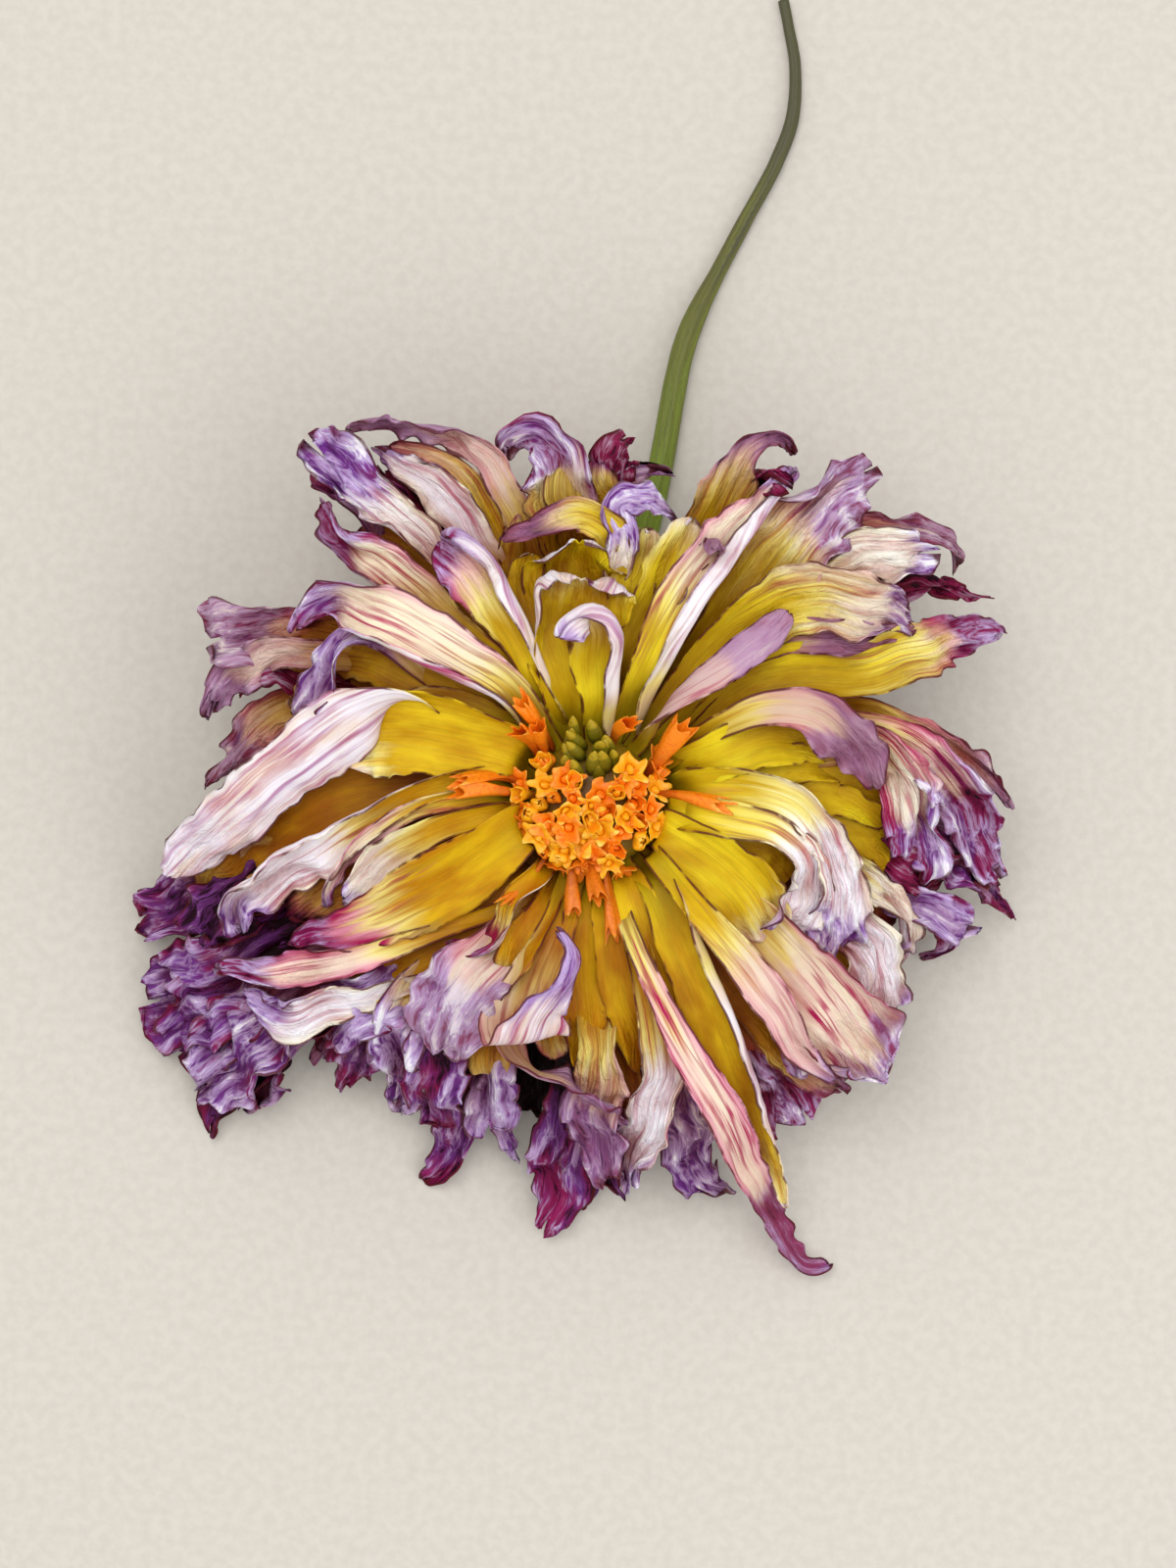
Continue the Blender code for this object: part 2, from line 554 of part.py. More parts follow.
def splay_of(azimuth, share):
    """How far a disc floret leans outwards, in degrees, and its length."""
    if share > SPLAY_FROM:
        for middle, reach, lean, length in FLORET_SPLAYS:
            if abs((math.degrees(azimuth) - middle + 180.0) % 360.0 - 180.0) < reach:
                return lean, length
    return FLORET_LEAN * share, FLORET_LENGTH


def make_disc(petals, buds):
    """The open florets on their dome, which is cut away round the patch of buds."""
    material = floret_material()
    profile = [(DISC_RADIUS, DISC_BASE)]
    for share in DISC_STEPS:
        profile.append((DISC_RADIUS * share, DISC_BASE + DISC_RISE * (1.0 - share**2)))
    dome = new_object("disc_florets", in_frame(turned_body(profile, DISC_SIDES)), material)
    carve(dome, new_object("patch_cutter", patch_body(DISC_BASE - GAP, GAP), material))
    neighbours = [faces_of(petals), faces_of(buds)]
    florets = []
    for azimuth, distance, share in spiral(DISC_FLORETS, DISC_RADIUS - FLORET_RADIUS):
        x = distance * math.cos(azimuth)
        y = distance * math.sin(azimuth)
        if math.hypot(x - PATCH_X, y - PATCH_Y) < PATCH_PROFILE[0][0] + 2 * FLORET_RADIUS:
            continue
        root = Vector((x, y, DISC_BASE + DISC_RISE * (1.0 - share**2) - FLORET_SINK))
        lean, length = splay_of(azimuth, share)
        body = planted(partial(floret_body, length), root, azimuth, lean, neighbours)
        if body:
            florets.append(new_object("floret", body, material))
    fuse(dome, florets)
    return dome


def bract_body(shape, azimuth):
    """One bract, from inside the cup to its tip."""
    width, *places = shape
    knots = [on_bloom(azimuth, radius, height) for radius, height in places]
    blade = Bract(width, (0, 0, 0), BRACT_CUP, BRACT_CRUMPLE)
    return blade_body(blade_points(blade, np.array(knots), azimuth), BLADE_THICKNESS)


def make_calyx():
    """The cup under the petals with both rings of bracts."""
    material = calyx_material()
    cup = new_object("calyx", in_frame(turned_body(CALYX_PROFILE, CALYX_SIDES)), material)
    bracts = []
    for count, start, shape in (
        (OUTER_BRACTS, OUTER_BRACT_START, OUTER_BRACT),
        (INNER_BRACTS, INNER_BRACT_START, INNER_BRACT),
    ):
        for i in range(count):
            body = bract_body(shape, start + i * 360.0 / count)
            bracts.append(new_object("bract", in_frame(body), material))
    fuse(cup, bracts)
    return cup


def make_stem():
    """The stem, from under the calyx over its bend to the cut, with a flat strip where it lies."""
    facet = math.cos(math.pi / STEM_SIDES)
    lying = [(x, y, radius * facet - STEM_SETTLE, radius) for x, y, radius in STEM_LYING]
    fine, u_fine, _ = smooth_line(np.array(STEM_BEND + tuple(lying)))
    u = np.linspace(0.0, 1.0, STEM_STATIONS)
    route = np.stack([np.interp(u, u_fine, fine[:, k]) for k in range(4)], axis=1)
    normal, side = carried_frame(route[:, :3], np.zeros(STEM_STATIONS), FORWARD)
    rings = []
    for place, up, across in zip(route, normal, side):
        ring = []
        for i in range(STEM_SIDES):
            turn = 2 * math.pi * (i + 0.5) / STEM_SIDES
            point = place[:3] + place[3] * (math.cos(turn) * up + math.sin(turn) * across)
            ring.append((point[0], point[1], min(max(point[2], 0.0), STEM_TOP)))
        rings.append(ring)
    return new_object("stem", in_frame(ringed_body(rings)), stem_material())


def main():
    """Builds the bloom from its petals out to the stem."""
    clear_scene()
    petals = make_petals()
    buds = make_buds(petals)
    make_disc(petals, buds)
    make_calyx()
    make_stem()


main()
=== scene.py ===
"""Looks of a fading dinner plate dahlia that lies face up on its cut stem.

Every petal is one sheet: it is shaped along its own charted line, cupped, rolled, pleated and crumpled,
and then given its thickness. Lengths are in millimetres about the bloom's own middle until a mesh is
placed, and colours are written as the eye reads them, 0 to 255, and turned linear for the shaders.
"""
import logging
import math
from dataclasses import dataclass
from enum import Enum
from typing import Iterator, Sequence, Union

import bpy
import numpy as np
from mathutils import Matrix, Vector


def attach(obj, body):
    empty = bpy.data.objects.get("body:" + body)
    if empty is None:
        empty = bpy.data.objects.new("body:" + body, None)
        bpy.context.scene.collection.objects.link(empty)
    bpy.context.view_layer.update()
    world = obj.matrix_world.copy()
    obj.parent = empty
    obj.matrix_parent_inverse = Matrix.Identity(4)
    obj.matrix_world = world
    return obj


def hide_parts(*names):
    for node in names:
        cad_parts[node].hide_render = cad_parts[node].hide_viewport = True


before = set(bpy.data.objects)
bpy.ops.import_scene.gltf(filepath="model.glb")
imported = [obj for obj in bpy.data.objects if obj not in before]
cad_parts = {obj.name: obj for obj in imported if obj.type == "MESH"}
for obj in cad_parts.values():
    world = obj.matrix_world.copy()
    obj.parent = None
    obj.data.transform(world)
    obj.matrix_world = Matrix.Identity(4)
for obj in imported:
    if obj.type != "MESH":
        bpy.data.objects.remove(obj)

LOG = logging.getLogger("dahlia")
MM = 0.001
BLOOM_X = 5.3
BLOOM_Y = -41.5
EYE_X = -1.1
EYE_Y = 4.4
EYE_DISTANCE = 978
SEEN_HEIGHT = 35
GOLDEN_ANGLE = math.radians(137.508)
UP = Vector((0, 0, 1))

Array = np.ndarray
Object = bpy.types.Object
Mesh = bpy.types.Mesh
Material = bpy.types.Material
Socket = bpy.types.NodeSocket
Color = tuple[float, float, float]
Feed = Union[float, Color, Socket]
Profile = tuple[tuple[float, float], ...]


def linear(red: float, green: float, blue: float) -> Color:
    """Turns a colour written 0 to 255 into the shaders' linear values."""
    channels = (value / 255 for value in (red, green, blue))
    return tuple(c / 12.92 if c < 0.04045 else ((c + 0.055) / 1.055) ** 2.4 for c in channels)


def eased(x: Array) -> Array:
    """Eases values from 0 to 1."""
    x = np.clip(x, 0, 1)
    return x * x * (3 - 2 * x)


def unit(vectors: Array) -> Array:
    """Vectors scaled to length 1."""
    return vectors / np.linalg.norm(vectors, axis=-1, keepdims=True)


def blurred(values: Array, reach: int) -> Array:
    """Values averaged over a window that reaches so far each way."""
    window = np.ones(2 * reach + 1) / (2 * reach + 1)
    return np.convolve(np.pad(values, reach, mode="edge"), window, mode="valid")


def around(azimuth: float, radius: float, height: float) -> Array:
    """A point about the bloom's middle, its azimuth in degrees."""
    turn = math.radians(azimuth)
    return np.array([radius * math.cos(turn), radius * math.sin(turn), height])


class Ripple:
    """Smooth seeded noise on a plane, from -1 to 1."""

    SIDE = 64

    def __init__(self, seed: int) -> None:
        """Draws the lattice, one value a unit."""
        self.lattice = np.random.RandomState(seed).uniform(-1, 1, (self.SIDE, self.SIDE))

    def at(self, x: Array, y: Array) -> Array:
        """Reads the noise.

        Args:
            x: First coordinate, one lattice step a unit.
            y: Second coordinate.

        Returns:
            The noise at each point.
        """
        x, y = np.broadcast_arrays(x, y)
        x0 = np.floor(x).astype(int)
        y0 = np.floor(y).astype(int)
        fx = eased(x - x0)
        fy = eased(y - y0)
        side = self.SIDE
        a = self.lattice[x0 % side, y0 % side]
        b = self.lattice[(x0 + 1) % side, y0 % side]
        c = self.lattice[x0 % side, (y0 + 1) % side]
        d = self.lattice[(x0 + 1) % side, (y0 + 1) % side]
        return (a * (1 - fx) + b * fx) * (1 - fy) + (c * (1 - fx) + d * fx) * fy


class Path:
    """A smooth line through knots.

    points are its fine points, shares say how much of its run lies before each of them, and knot_shares say
    the same of the knots.
    """

    SAMPLES = 60

    def __init__(self, knots: Array) -> None:
        """Runs the line.

        Args:
            knots: The points to pass.
        """
        steps = np.linalg.norm(np.diff(knots, axis=0), axis=1) ** 0.5
        t = np.concatenate([[0], np.cumsum(steps)])
        slopes = self.slopes(knots, t)
        s = np.linspace(0, 1, self.SAMPLES, endpoint=False)[:, None]
        spans = []
        for i, h in enumerate(np.diff(t)):
            span = (2 * s**3 - 3 * s**2 + 1) * knots[i] + (s**3 - 2 * s**2 + s) * h * slopes[i]
            span += (3 * s**2 - 2 * s**3) * knots[i + 1] + (s**3 - s**2) * h * slopes[i + 1]
            spans.append(span)
        self.points = np.concatenate([*spans, knots[-1:]])
        fine_steps = np.linalg.norm(np.diff(self.points, axis=0), axis=1)
        run = np.concatenate([[0], np.cumsum(fine_steps)])
        self.length = float(fine_steps.sum())
        self.shares = run / run[-1]
        self.knot_shares = run[:: self.SAMPLES] / run[-1]

    @staticmethod
    def slopes(knots: Array, t: Array) -> Array:
        """Works out the line's heading at each knot from its neighbours.

        Args:
            knots: The points to pass.
            t: The line's parameter at each.

        Returns:
            The change of place with the parameter.
        """
        slopes = np.zeros_like(knots)
        for i in range(1, len(knots) - 1):
            before = (knots[i] - knots[i - 1]) / (t[i] - t[i - 1])
            after = (knots[i + 1] - knots[i]) / (t[i + 1] - t[i])
            share = (t[i] - t[i - 1]) / (t[i + 1] - t[i - 1])
            slopes[i] = before * (1 - share) + after * share
        slopes[0] = (knots[1] - knots[0]) / (t[1] - t[0])
        slopes[-1] = 1.5 * (knots[-1] - knots[-2]) / (t[-1] - t[-2]) - 0.5 * slopes[-2]
        return slopes

    def read(self, values: Array, u: Array) -> Array:
        """Reads vectors given at the fine points at other shares of the run."""
        return np.stack([np.interp(u, self.shares, values[:, k]) for k in range(3)], axis=-1)

    @staticmethod
    def carried_frame(line: Array, roll: Union[Array, float] = 0) -> tuple[Array, Array]:
        """Carries the upper face along a line without twist, and then rolls it.

        Args:
            line: Points along a sheet's middle.
            roll: The turn at each point, in radians.

        Returns:
            The upper face's normal and the sideways direction at each point.
        """
        tangent = unit(np.gradient(line, axis=0))
        normal = np.zeros_like(line)
        carried = np.array(UP)
        for i, t in enumerate(tangent):
            carried = carried - t * (carried @ t)
            carried /= np.linalg.norm(carried)
            normal[i] = carried
        side = np.cross(tangent, normal)
        roll = np.broadcast_to(roll, len(line))
        c = np.cos(roll)[:, None]
        s = np.sin(roll)[:, None]
        return normal * c + side * s, side * c - normal * s


@dataclass(frozen=True)
class Tint:
    """How one petal fades: shares of its length where gold ends and purple begins, and strengths.

    A pink below nothing bleaches the cream to white. Its browning is partly the dried petal's own brown and
    partly painted shade on petals that lie low under others.
    """

    gold: float
    purple: float
    depth: float
    pink: float
    streak: float
    brown: float = 0
    tan: float = 0


class Fade(Enum):
    """The ways in which the petals fade."""

    GOLD = Tint(1.3, 1.6, 0.3, 0.3, 0.25)
    HOOK = Tint(0.72, 0.94, 0.12, -0.7, 0.3)
    GOLD_CREAM = Tint(0.92, 1.5, 0.2, 0, 0.3)
    GOLD_PINK = Tint(0.9, 1.15, 0.3, 0.5, 0.6)
    GOLD_MAGENTA = Tint(0.72, 0.86, 0.35, 0.8, 0.9)
    CREAM = Tint(0.6, 0.94, 0.1, -0.3, 0.3)
    CREAM_PINK = Tint(0.48, 0.9, 0.3, 0.05, 0.9)
    WHITE = Tint(0.48, 0.9, 0.2, -0.7, 0.7)
    LILAC_WHITE = Tint(0.5, 0.66, 0.12, -0.3, 0.5)
    PINK = Tint(0.54, 0.88, 0.3, 0.4, 1)
    PALE_PINK = Tint(0.36, 0.78, 0.3, 0.05, 1)
    YELLOW_PINK = Tint(0.54, 0.76, 0.3, 0.05, 1)
    DRAPE = Tint(0.48, 0.78, 0.3, -0.15, 1.2)
    CREAM_WINE = Tint(0.46, 0.66, 0.3, 0.3, 1.2)
    STRAP = Tint(0.74, 0.86, 0.6, 0.2, 0.8, 0.5, 0.8)
    STRIPED = Tint(0.44, 0.84, 0.24, -0.5, 0.9)
    PEARL = Tint(0.66, 0.86, 0.18, -0.2, 0.8, 0.25, 0.3)
    SCOOP = Tint(0.46, 0.9, 0.06, 0.2, 1.3, 0, 0.3)
    TAIL = Tint(0.24, 0.72, 0.36, 0.15, 1, 0, 0.3)
    BEIGE = Tint(0.52, 0.97, 0.2, 0.3, 0.5, 0, 0.6)
    LILAC = Tint(0.48, 0.6, 0.22, 0.2, 0.5)
    FOLDED = Tint(0.4, 1.3, 0.2, 0, 0.5)
    FAN = Tint(0.44, 0.74, 0.25, 0, 0.8)
    CRIMSON = Tint(0.68, 0.86, 0.45, 1.2, 1)
    CRIMSON_DARK = Tint(0.44, 0.58, 0.62, 1, 1, 0.6)
    # Dark fades: partly the petals' own dark purple and partly painted shade for the low petals that lie
    # under the others.
    DARK = Tint(0.34, 0.42, 0.8, 0.6, 0.6, 0.5)
    DARK_LILAC = Tint(0.36, 0.46, 0.46, 0.6, 0.6, 0.15)
    MAUVE = Tint(0.4, 0.5, 0.32, 0.3, 0.6, 0.1)
    MAUVE_TAN = Tint(0.56, 0.72, 0.35, 0.3, 0.6, 0.2, 0.6)
    # Brown fades for petals that lie low under others: partly their own browning, partly painted shade.
    BROWN = Tint(0.92, 1.15, 0.7, 0.1, 0.3, 1)
    BROWN_WINE = Tint(0.82, 0.94, 0.8, 1, 0.6, 1)
    OCHRE = Tint(0.92, 0.98, 0.65, 0.8, 0.4, 0.3)
    OCHRE_LILAC = Tint(0.66, 0.76, 0.2, 0.2, 0.9, 0.1)
    RUST = Tint(0.76, 0.94, 0.5, 0.2, 0.8, 0.6, 0.4)
    RUST_LILAC = Tint(0.6, 0.8, 0.25, 0.4, 0.9, 0.45, 0.3)
    RIDGED = Tint(0.66, 0.8, 0.16, 0.3, 1, 0, 0.5)
    PLEATED = Tint(0.36, 0.62, 0.18, 0.35, 0.9, 0, 0.6)
    TAN_LILAC = Tint(0.46, 0.72, 0.4, 0.2, 0.7, 0.4, 1)
    BLADE = Tint(0.34, 0.72, 0.2, 0.05, 0.6, 0.2, 1)
    TAN_PURPLE = Tint(0.54, 0.8, 0.35, 0.2, 0.5, 0.1, 1)
    # Painted shade: near black, for the sheet in the hollow under the hanging petals.
    SHADE = Tint(0.05, 0.15, 2.2, 0.5, 0.3, 1)


@dataclass(frozen=True)
class Blade:
    """One petal: where it runs, how wide and rolled it is, and how it fades.

    Each station is (x, y, height, width) or (x, y, height, width, roll): a place on its middle line about the
    bloom's middle, the width there in millimetres, and its turn about that line in degrees. cup is the turn
    of its margins in degrees, crumple says how far it has dried, from 0 to 1, rims are the further turns of
    its left and right margins, and curl is the turn of its last stretch.
    """

    name: str
    ring: int
    stations: tuple[tuple[float, ...], ...]
    cup: float
    crumple: float
    fade: Fade
    rims: tuple[float, float] = (0, 0)
    curl: float = 0


CHART = (
    Blade("n_hook", 0, ((3, 25, 55, 12), (2.5, 32, 60, 16), (3, 39, 65, 16), (0, 43, 68, 12),
        (-5, 42, 67, 9), (-8, 39.5, 64, 7)), 40, 0.1, Fade.HOOK, (10, 155), 30),
    Blade("n_rim", 1, ((-4, 32, 53, 20), (-4, 46, 57, 26), (-3, 57, 58, 26)), 40, 0.25, Fade.GOLD_CREAM,
        (60, 20), 105),
    Blade("n_gold_left", 1, ((-8, 27, 54, 9), (-12, 38, 56, 11), (-15, 47, 55, 10), (-14, 56, 52, 7)), 30,
        0.2, Fade.GOLD),
    Blade("n_gold_mid", 1, ((8, 40, 53, 11), (10, 52, 56, 11), (11, 63, 57, 7)), 30, 0.3, Fade.GOLD_CREAM,
        (0, 20)),
    Blade("n_cream", 2, ((9, 33, 53, 10), (14, 45, 56, 12), (18, 55, 58, 12), (22, 64, 56, 8)), 30, 0.3,
        Fade.GOLD_CREAM, (0, 90), 20),
    Blade("n_white_roll", 1, ((14, 30, 55, 12), (20, 42, 59, 15), (26, 52, 61, 16), (33, 60, 61, 13),
        (39, 66, 60, 8), (43, 72, 58, 6, 20), (47, 75, 54, 5, 40)), 40, 0.35, Fade.CREAM_PINK, (0, 165)),
    Blade("n_small_curl", 2, ((17, 46, 56, 4), (22, 53, 58, 5), (28, 58, 60, 5), (31, 62, 61, 5),
        (31, 67, 60, 4)), 40, 0.4, Fade.TAN_LILAC, (30, 60), 150),
    Blade("n_lilac_blade", 0, ((17, 22, 57, 5, 120), (25, 28, 61, 7, 150), (33, 33.5, 63, 8, 160),
        (40, 39, 62, 7, 165), (44, 43, 60, 4, 165)), 25, 0.1, Fade.BLADE),
    Blade("n_lilac_twist", 1, ((4, 48, 55, 4), (6, 54, 58, 6), (7, 60, 60, 6), (6, 66, 62, 6, 10),
        (12, 68.5, 62, 7, -30), (18, 65, 58, 5, -40), (22, 62.5, 55, 2, -40)), 30, 0.8, Fade.LILAC_WHITE,
        (0, 60)),
    Blade("ne_folded", 2, ((31, 43, 52, 12), (38, 53, 54, 18), (46, 62, 55, 21), (53, 69, 54, 18, 5),
        (59, 74, 51, 12, 10), (65, 77.5, 46, 3, 10)), 35, 0.7, Fade.RIDGED, (50, 0)),
    Blade("n_brown_arch", 3, ((23, 52, 46, 14), (28, 64, 50, 13), (32, 73, 54, 11), (36, 79, 56, 6),
        (41, 81, 54, 4, 30), (44.5, 77, 48, 3, 60)), 25, 0.5, Fade.STRAP),
    Blade("n_magenta_knot", 3, ((32, 58, 48, 5), (38, 70, 52, 5), (42, 75, 54, 6), (47, 73, 51, 6, 30)), 30,
        0.9, Fade.CRIMSON_DARK, curl=90),
    Blade("n_gold_far", 3, ((18, 44, 48, 12), (24, 57, 49, 13), (27, 66, 47, 10)), 20, 0.3, Fade.OCHRE),
    Blade("n_fold_gold", 2, ((-2, 42, 50, 18), (-4, 52, 54, 22), (-4, 62, 57, 20)), 25, 0.3, Fade.GOLD,
        curl=60),
    Blade("n_strap", 2, ((4, 50, 53, 7), (4, 60, 58, 8), (-2, 66, 61, 7, 20), (-8, 65, 61, 6, 40),
        (-15, 61.5, 59, 5, 50), (-21, 59, 55, 2, 60)), 25, 0.4, Fade.STRAP),
    Blade("n_tall_back", 3, ((2, 50, 47, 14), (0, 63, 49, 16), (-2, 72, 50, 16), (-2, 79, 48, 11)), 20, 0.6,
        Fade.OCHRE),
    Blade("n_crimson", 3, ((4, 58, 46, 8), (4, 70, 50, 9), (4, 79, 51, 12), (8, 83, 49, 7, 20),
        (13.5, 82, 45, 3, 40)), 20, 0.9, Fade.CRIMSON_DARK),
    Blade("n_grey_tip", 3, ((6, 60, 47, 6), (7, 70, 50, 6), (12, 74, 50, 5, 20), (20, 72, 47, 2, 40)), 20,
        0.8, Fade.MAUVE_TAN),
    Blade("n_lilac_curl", 3, ((-4, 55, 45, 13), (-6, 68, 49, 14), (-8, 77, 53, 14), (-13, 82, 54, 11, -10),
        (-18, 80, 52, 8, -20), (-20, 75.5, 47, 3, -20)), 20, 0.7, Fade.OCHRE_LILAC, (0, 30)),
    Blade("n_gold_back", 4, ((-11, 46, 44, 16), (-12, 58, 46, 18), (-12, 68, 44, 14)), 20, 0.3, Fade.OCHRE),
    Blade("nw_long_thin", 3, ((-14, 58, 46, 8), (-18, 68, 48, 7), (-24, 77, 50, 6, -10),
        (-34, 82, 49, 7, -40), (-45, 84, 46, 8, -50), (-55.5, 83.5, 41, 2, -60)), 30, 0.55, Fade.TAN_PURPLE,
        (0, 40)),
    Blade("nw_strand", 3, ((-16, 50, 46, 6), (-22, 62, 47, 5), (-27, 71, 48, 5), (-34, 77, 47, 4),
        (-48, 81, 44, 3)), 30, 0.5, Fade.RUST, (40, 0)),
    Blade("nw_turned_tip", 1, ((-13, 31, 56, 8), (-18, 41, 59, 12), (-23, 49, 61, 15), (-29, 56, 62, 16),
        (-35, 60.5, 59, 11)), 25, 0.3, Fade.GOLD_MAGENTA, (10, 150)),
    Blade("nw_rust", 3, ((-26, 52, 45, 7), (-35, 63, 46, 7), (-43, 71, 45, 7), (-48, 77, 42, 5)), 25, 0.5,
        Fade.CRIMSON_DARK),
    Blade("nw_pale", 3, ((-20, 48, 46, 8), (-29, 63, 48, 8), (-36, 71, 48, 9), (-43, 77, 46, 6),
        (-50, 80, 42, 3, 10)), 25, 0.5, Fade.WHITE),
    Blade("nw_striped", 2, ((-24, 44, 50, 7), (-36, 57, 54, 7), (-45, 65, 55, 8), (-52, 71, 54, 9),
        (-58, 76, 50, 13), (-63, 80, 44, 7, 20)), 25, 0.85, Fade.STRIPED, (40, 0), 60),
    Blade("nw_gold", 2, ((-15, 31, 51, 11), (-26, 43, 52, 13), (-34, 51, 51, 13), (-44, 58, 48, 11),
        (-53, 65, 44, 9)), 30, 0.25, Fade.OCHRE),
    Blade("nw_purple_back", 3, ((-34, 52, 44, 10), (-46, 64, 45, 12), (-56, 72, 43, 12), (-62, 77, 38, 8)),
        25, 0.8, Fade.DARK_LILAC),
    Blade("nw_long_pink", 1, ((-18, 28, 54, 6), (-30, 38, 57, 9), (-40, 47, 57, 11),
        (-48, 53.5, 55, 11, -10), (-55, 58, 52, 10, -20), (-60, 64, 48, 7, -30), (-62.5, 71, 44, 3, -40)),
        30, 0.4, Fade.YELLOW_PINK, (90, 0)),
    Blade("nw_arched", 0, ((-20, 26, 56, 10), (-30, 32, 60, 14), (-40, 38, 62, 16), (-49, 43, 62, 15),
        (-58, 46, 58, 12, -15), (-66, 39, 49, 3, -40)), 35, 0.35, Fade.PALE_PINK, (120, 0), 10),
    Blade("w_gold_top", 2, ((-22, 20, 49, 12), (-36, 28, 51, 15), (-48, 34, 49, 15), (-58, 36, 45, 12),
        (-67, 37, 40, 8)), 25, 0.25, Fade.OCHRE),
    Blade("w_blunt", 3, ((-34, 27, 44, 10), (-50, 36, 44, 10), (-66, 40.5, 42, 8), (-77, 39.5, 40, 9),
        (-83, 37, 40, 15, 10), (-88, 35.5, 36, 20, 10)), 20, 0.5, Fade.RUST_LILAC),
    Blade("w_claw", 3, ((-48, 32, 45, 8), (-60, 33.5, 47, 7), (-70, 34, 47, 7), (-78, 31, 43, 9, -20),
        (-83, 26, 36, 8, -35), (-86, 18.5, 28, 4, -45)), 30, 0.6, Fade.TAN_PURPLE, (0, 50)),
    Blade("w_claw_fold", 3, ((-46, 28, 44, 7), (-60, 29, 44, 7), (-72, 29, 42, 8, 20), (-80, 23, 34, 5, 50)),
        30, 0.8, Fade.CRIMSON_DARK),
    Blade("w_inner_tan", 2, ((-44, 27, 45, 9), (-58, 29, 44, 10), (-67, 27, 41, 8, 20),
        (-68, 19, 36, 4, 40)), 25, 0.3, Fade.BROWN, (30, 0)),
    Blade("w_twisted_small", 2, ((-40, 31, 52, 5), (-50, 38, 56, 5, 20), (-56, 36, 59, 6, 50),
        (-59.5, 29, 58, 10, 60), (-62, 23, 54, 11, 60), (-64, 16, 49, 3, 60)), 30, 0.6, Fade.LILAC,
        (40, 40)),
    Blade("w_gold_big", 1, ((-18, 12, 52, 12), (-30, 15, 54, 18), (-42, 17, 54, 21), (-50, 17, 51, 20),
        (-57, 15, 47, 13)), 25, 0.12, Fade.GOLD_CREAM, (0, 30)),
    Blade("w_turned_over", 1, ((-20, 17, 50, 8), (-34, 23, 53, 7, 40), (-45, 23, 57, 10, 130),
        (-53, 18.5, 58, 19, 178), (-61, 13, 55, 18, 180), (-69, 7, 50, 15, 180), (-80, -2, 43, 14, 180),
        (-90, -10.5, 35, 13, 180), (-95.5, -16, 30, 5, 180)), 20, 0.2, Fade.FOLDED),
    Blade("w_behind", 4, ((-50, 22, 36, 9), (-66, 23, 36, 8), (-76, 18, 33, 9, 10), (-82, 10, 26, 9, 20),
        (-88, 1, 17, 2, 20)), 20, 0.6, Fade.RUST_LILAC),
    Blade("w_brown_back", 2, ((-22, 4, 46, 12), (-42, 4, 45, 16), (-60, 1, 42, 18), (-74, -7, 36, 17),
        (-84, -18, 28, 13), (-86, -27, 22, 5)), 25, 0.3, Fade.BROWN),
    Blade("w_brown_low", 2, ((-24, 1, 44, 10), (-46, -3, 42, 12), (-64, -10, 37, 13), (-79, -15, 30, 10)),
        25, 0.3, Fade.BROWN),
    Blade("w_white", 1, ((-24, 6, 51, 6), (-38, 3, 52, 7, -10), (-50, -3, 50, 9, -20),
        (-62, -10, 47, 13, -25), (-72, -17, 42, 14, -25), (-79, -23, 37, 10, -20), (-77, -31, 31, 8)), 45,
        0.45, Fade.WHITE, (40, 50)),
    Blade("w_pink_narrow", 0, ((-24, 2, 51, 5), (-40, -1, 51, 5, -20), (-50, -6.5, 49, 6, -40),
        (-56, -13, 46, 5, -60), (-60, -24, 40, 2, -60)), 40, 0.3, Fade.CREAM_PINK, (40, 40)),
    Blade("w_cream", 0, ((-21, -2, 52, 5), (-33, -5, 52, 6, -10), (-42, -9.5, 50, 9, -15),
        (-49, -15, 47, 10, -15), (-57, -22.5, 43, 3, -15)), 45, 0.25, Fade.CREAM, (50, 30)),
    Blade("sw_brown_fill", 3, ((-24, 0, 44, 10), (-44, -8, 42, 14), (-58, -17, 38, 15), (-69, -26, 32, 10)),
        20, 0.3, Fade.BROWN_WINE),
    Blade("sw_green_gold", 1, ((-17, -6, 52, 12), (-28, -14, 51, 17), (-40, -21, 48, 17, 5),
        (-52, -26, 44, 11, 10), (-62, -29.5, 40, 6, 15), (-69, -32, 36, 2, 20)), 35, 0.25, Fade.CRIMSON),
    Blade("sw_pink_long", 2, ((-15, -21, 47, 4), (-30, -27, 47, 4, -5), (-42, -31, 46, 5.5, -10),
        (-55, -35.5, 43, 7, -10), (-68, -37.5, 39, 8, -10), (-79, -38, 35, 6, -5), (-86, -37, 31, 3)), 40,
        0.45, Fade.PINK, (0, 60)),
    Blade("sw_gold_fill", 3, ((-18, -18, 46, 12), (-32, -30, 44, 15), (-46, -38, 40, 13), (-57, -42, 36, 6)),
        25, 0.25, Fade.OCHRE),
    Blade("sw_white_fold", 2, ((-14, -28, 44, 4), (-28, -37, 43, 3.5, -10), (-40, -40, 42, 4, -20),
        (-52, -43, 41, 7, -30), (-62, -45.5, 39, 10, -30), (-71, -47, 36, 12, -20), (-80, -43, 33, 7, -10)),
        40, 0.5, Fade.WHITE, (0, 50)),
    Blade("sw_small_fold", 0, ((-13, -17, 52, 7), (-18, -21, 54, 5, 20), (-21, -27, 54, 6, 40),
        (-26, -32, 52, 5, 60), (-33, -31, 49, 2, 60)), 40, 0.5, Fade.CRIMSON, (60, 60)),
    Blade("w_purple_ear", 4, ((-60, -8, 30, 12), (-78, -14, 26, 14), (-90, -20, 20, 15),
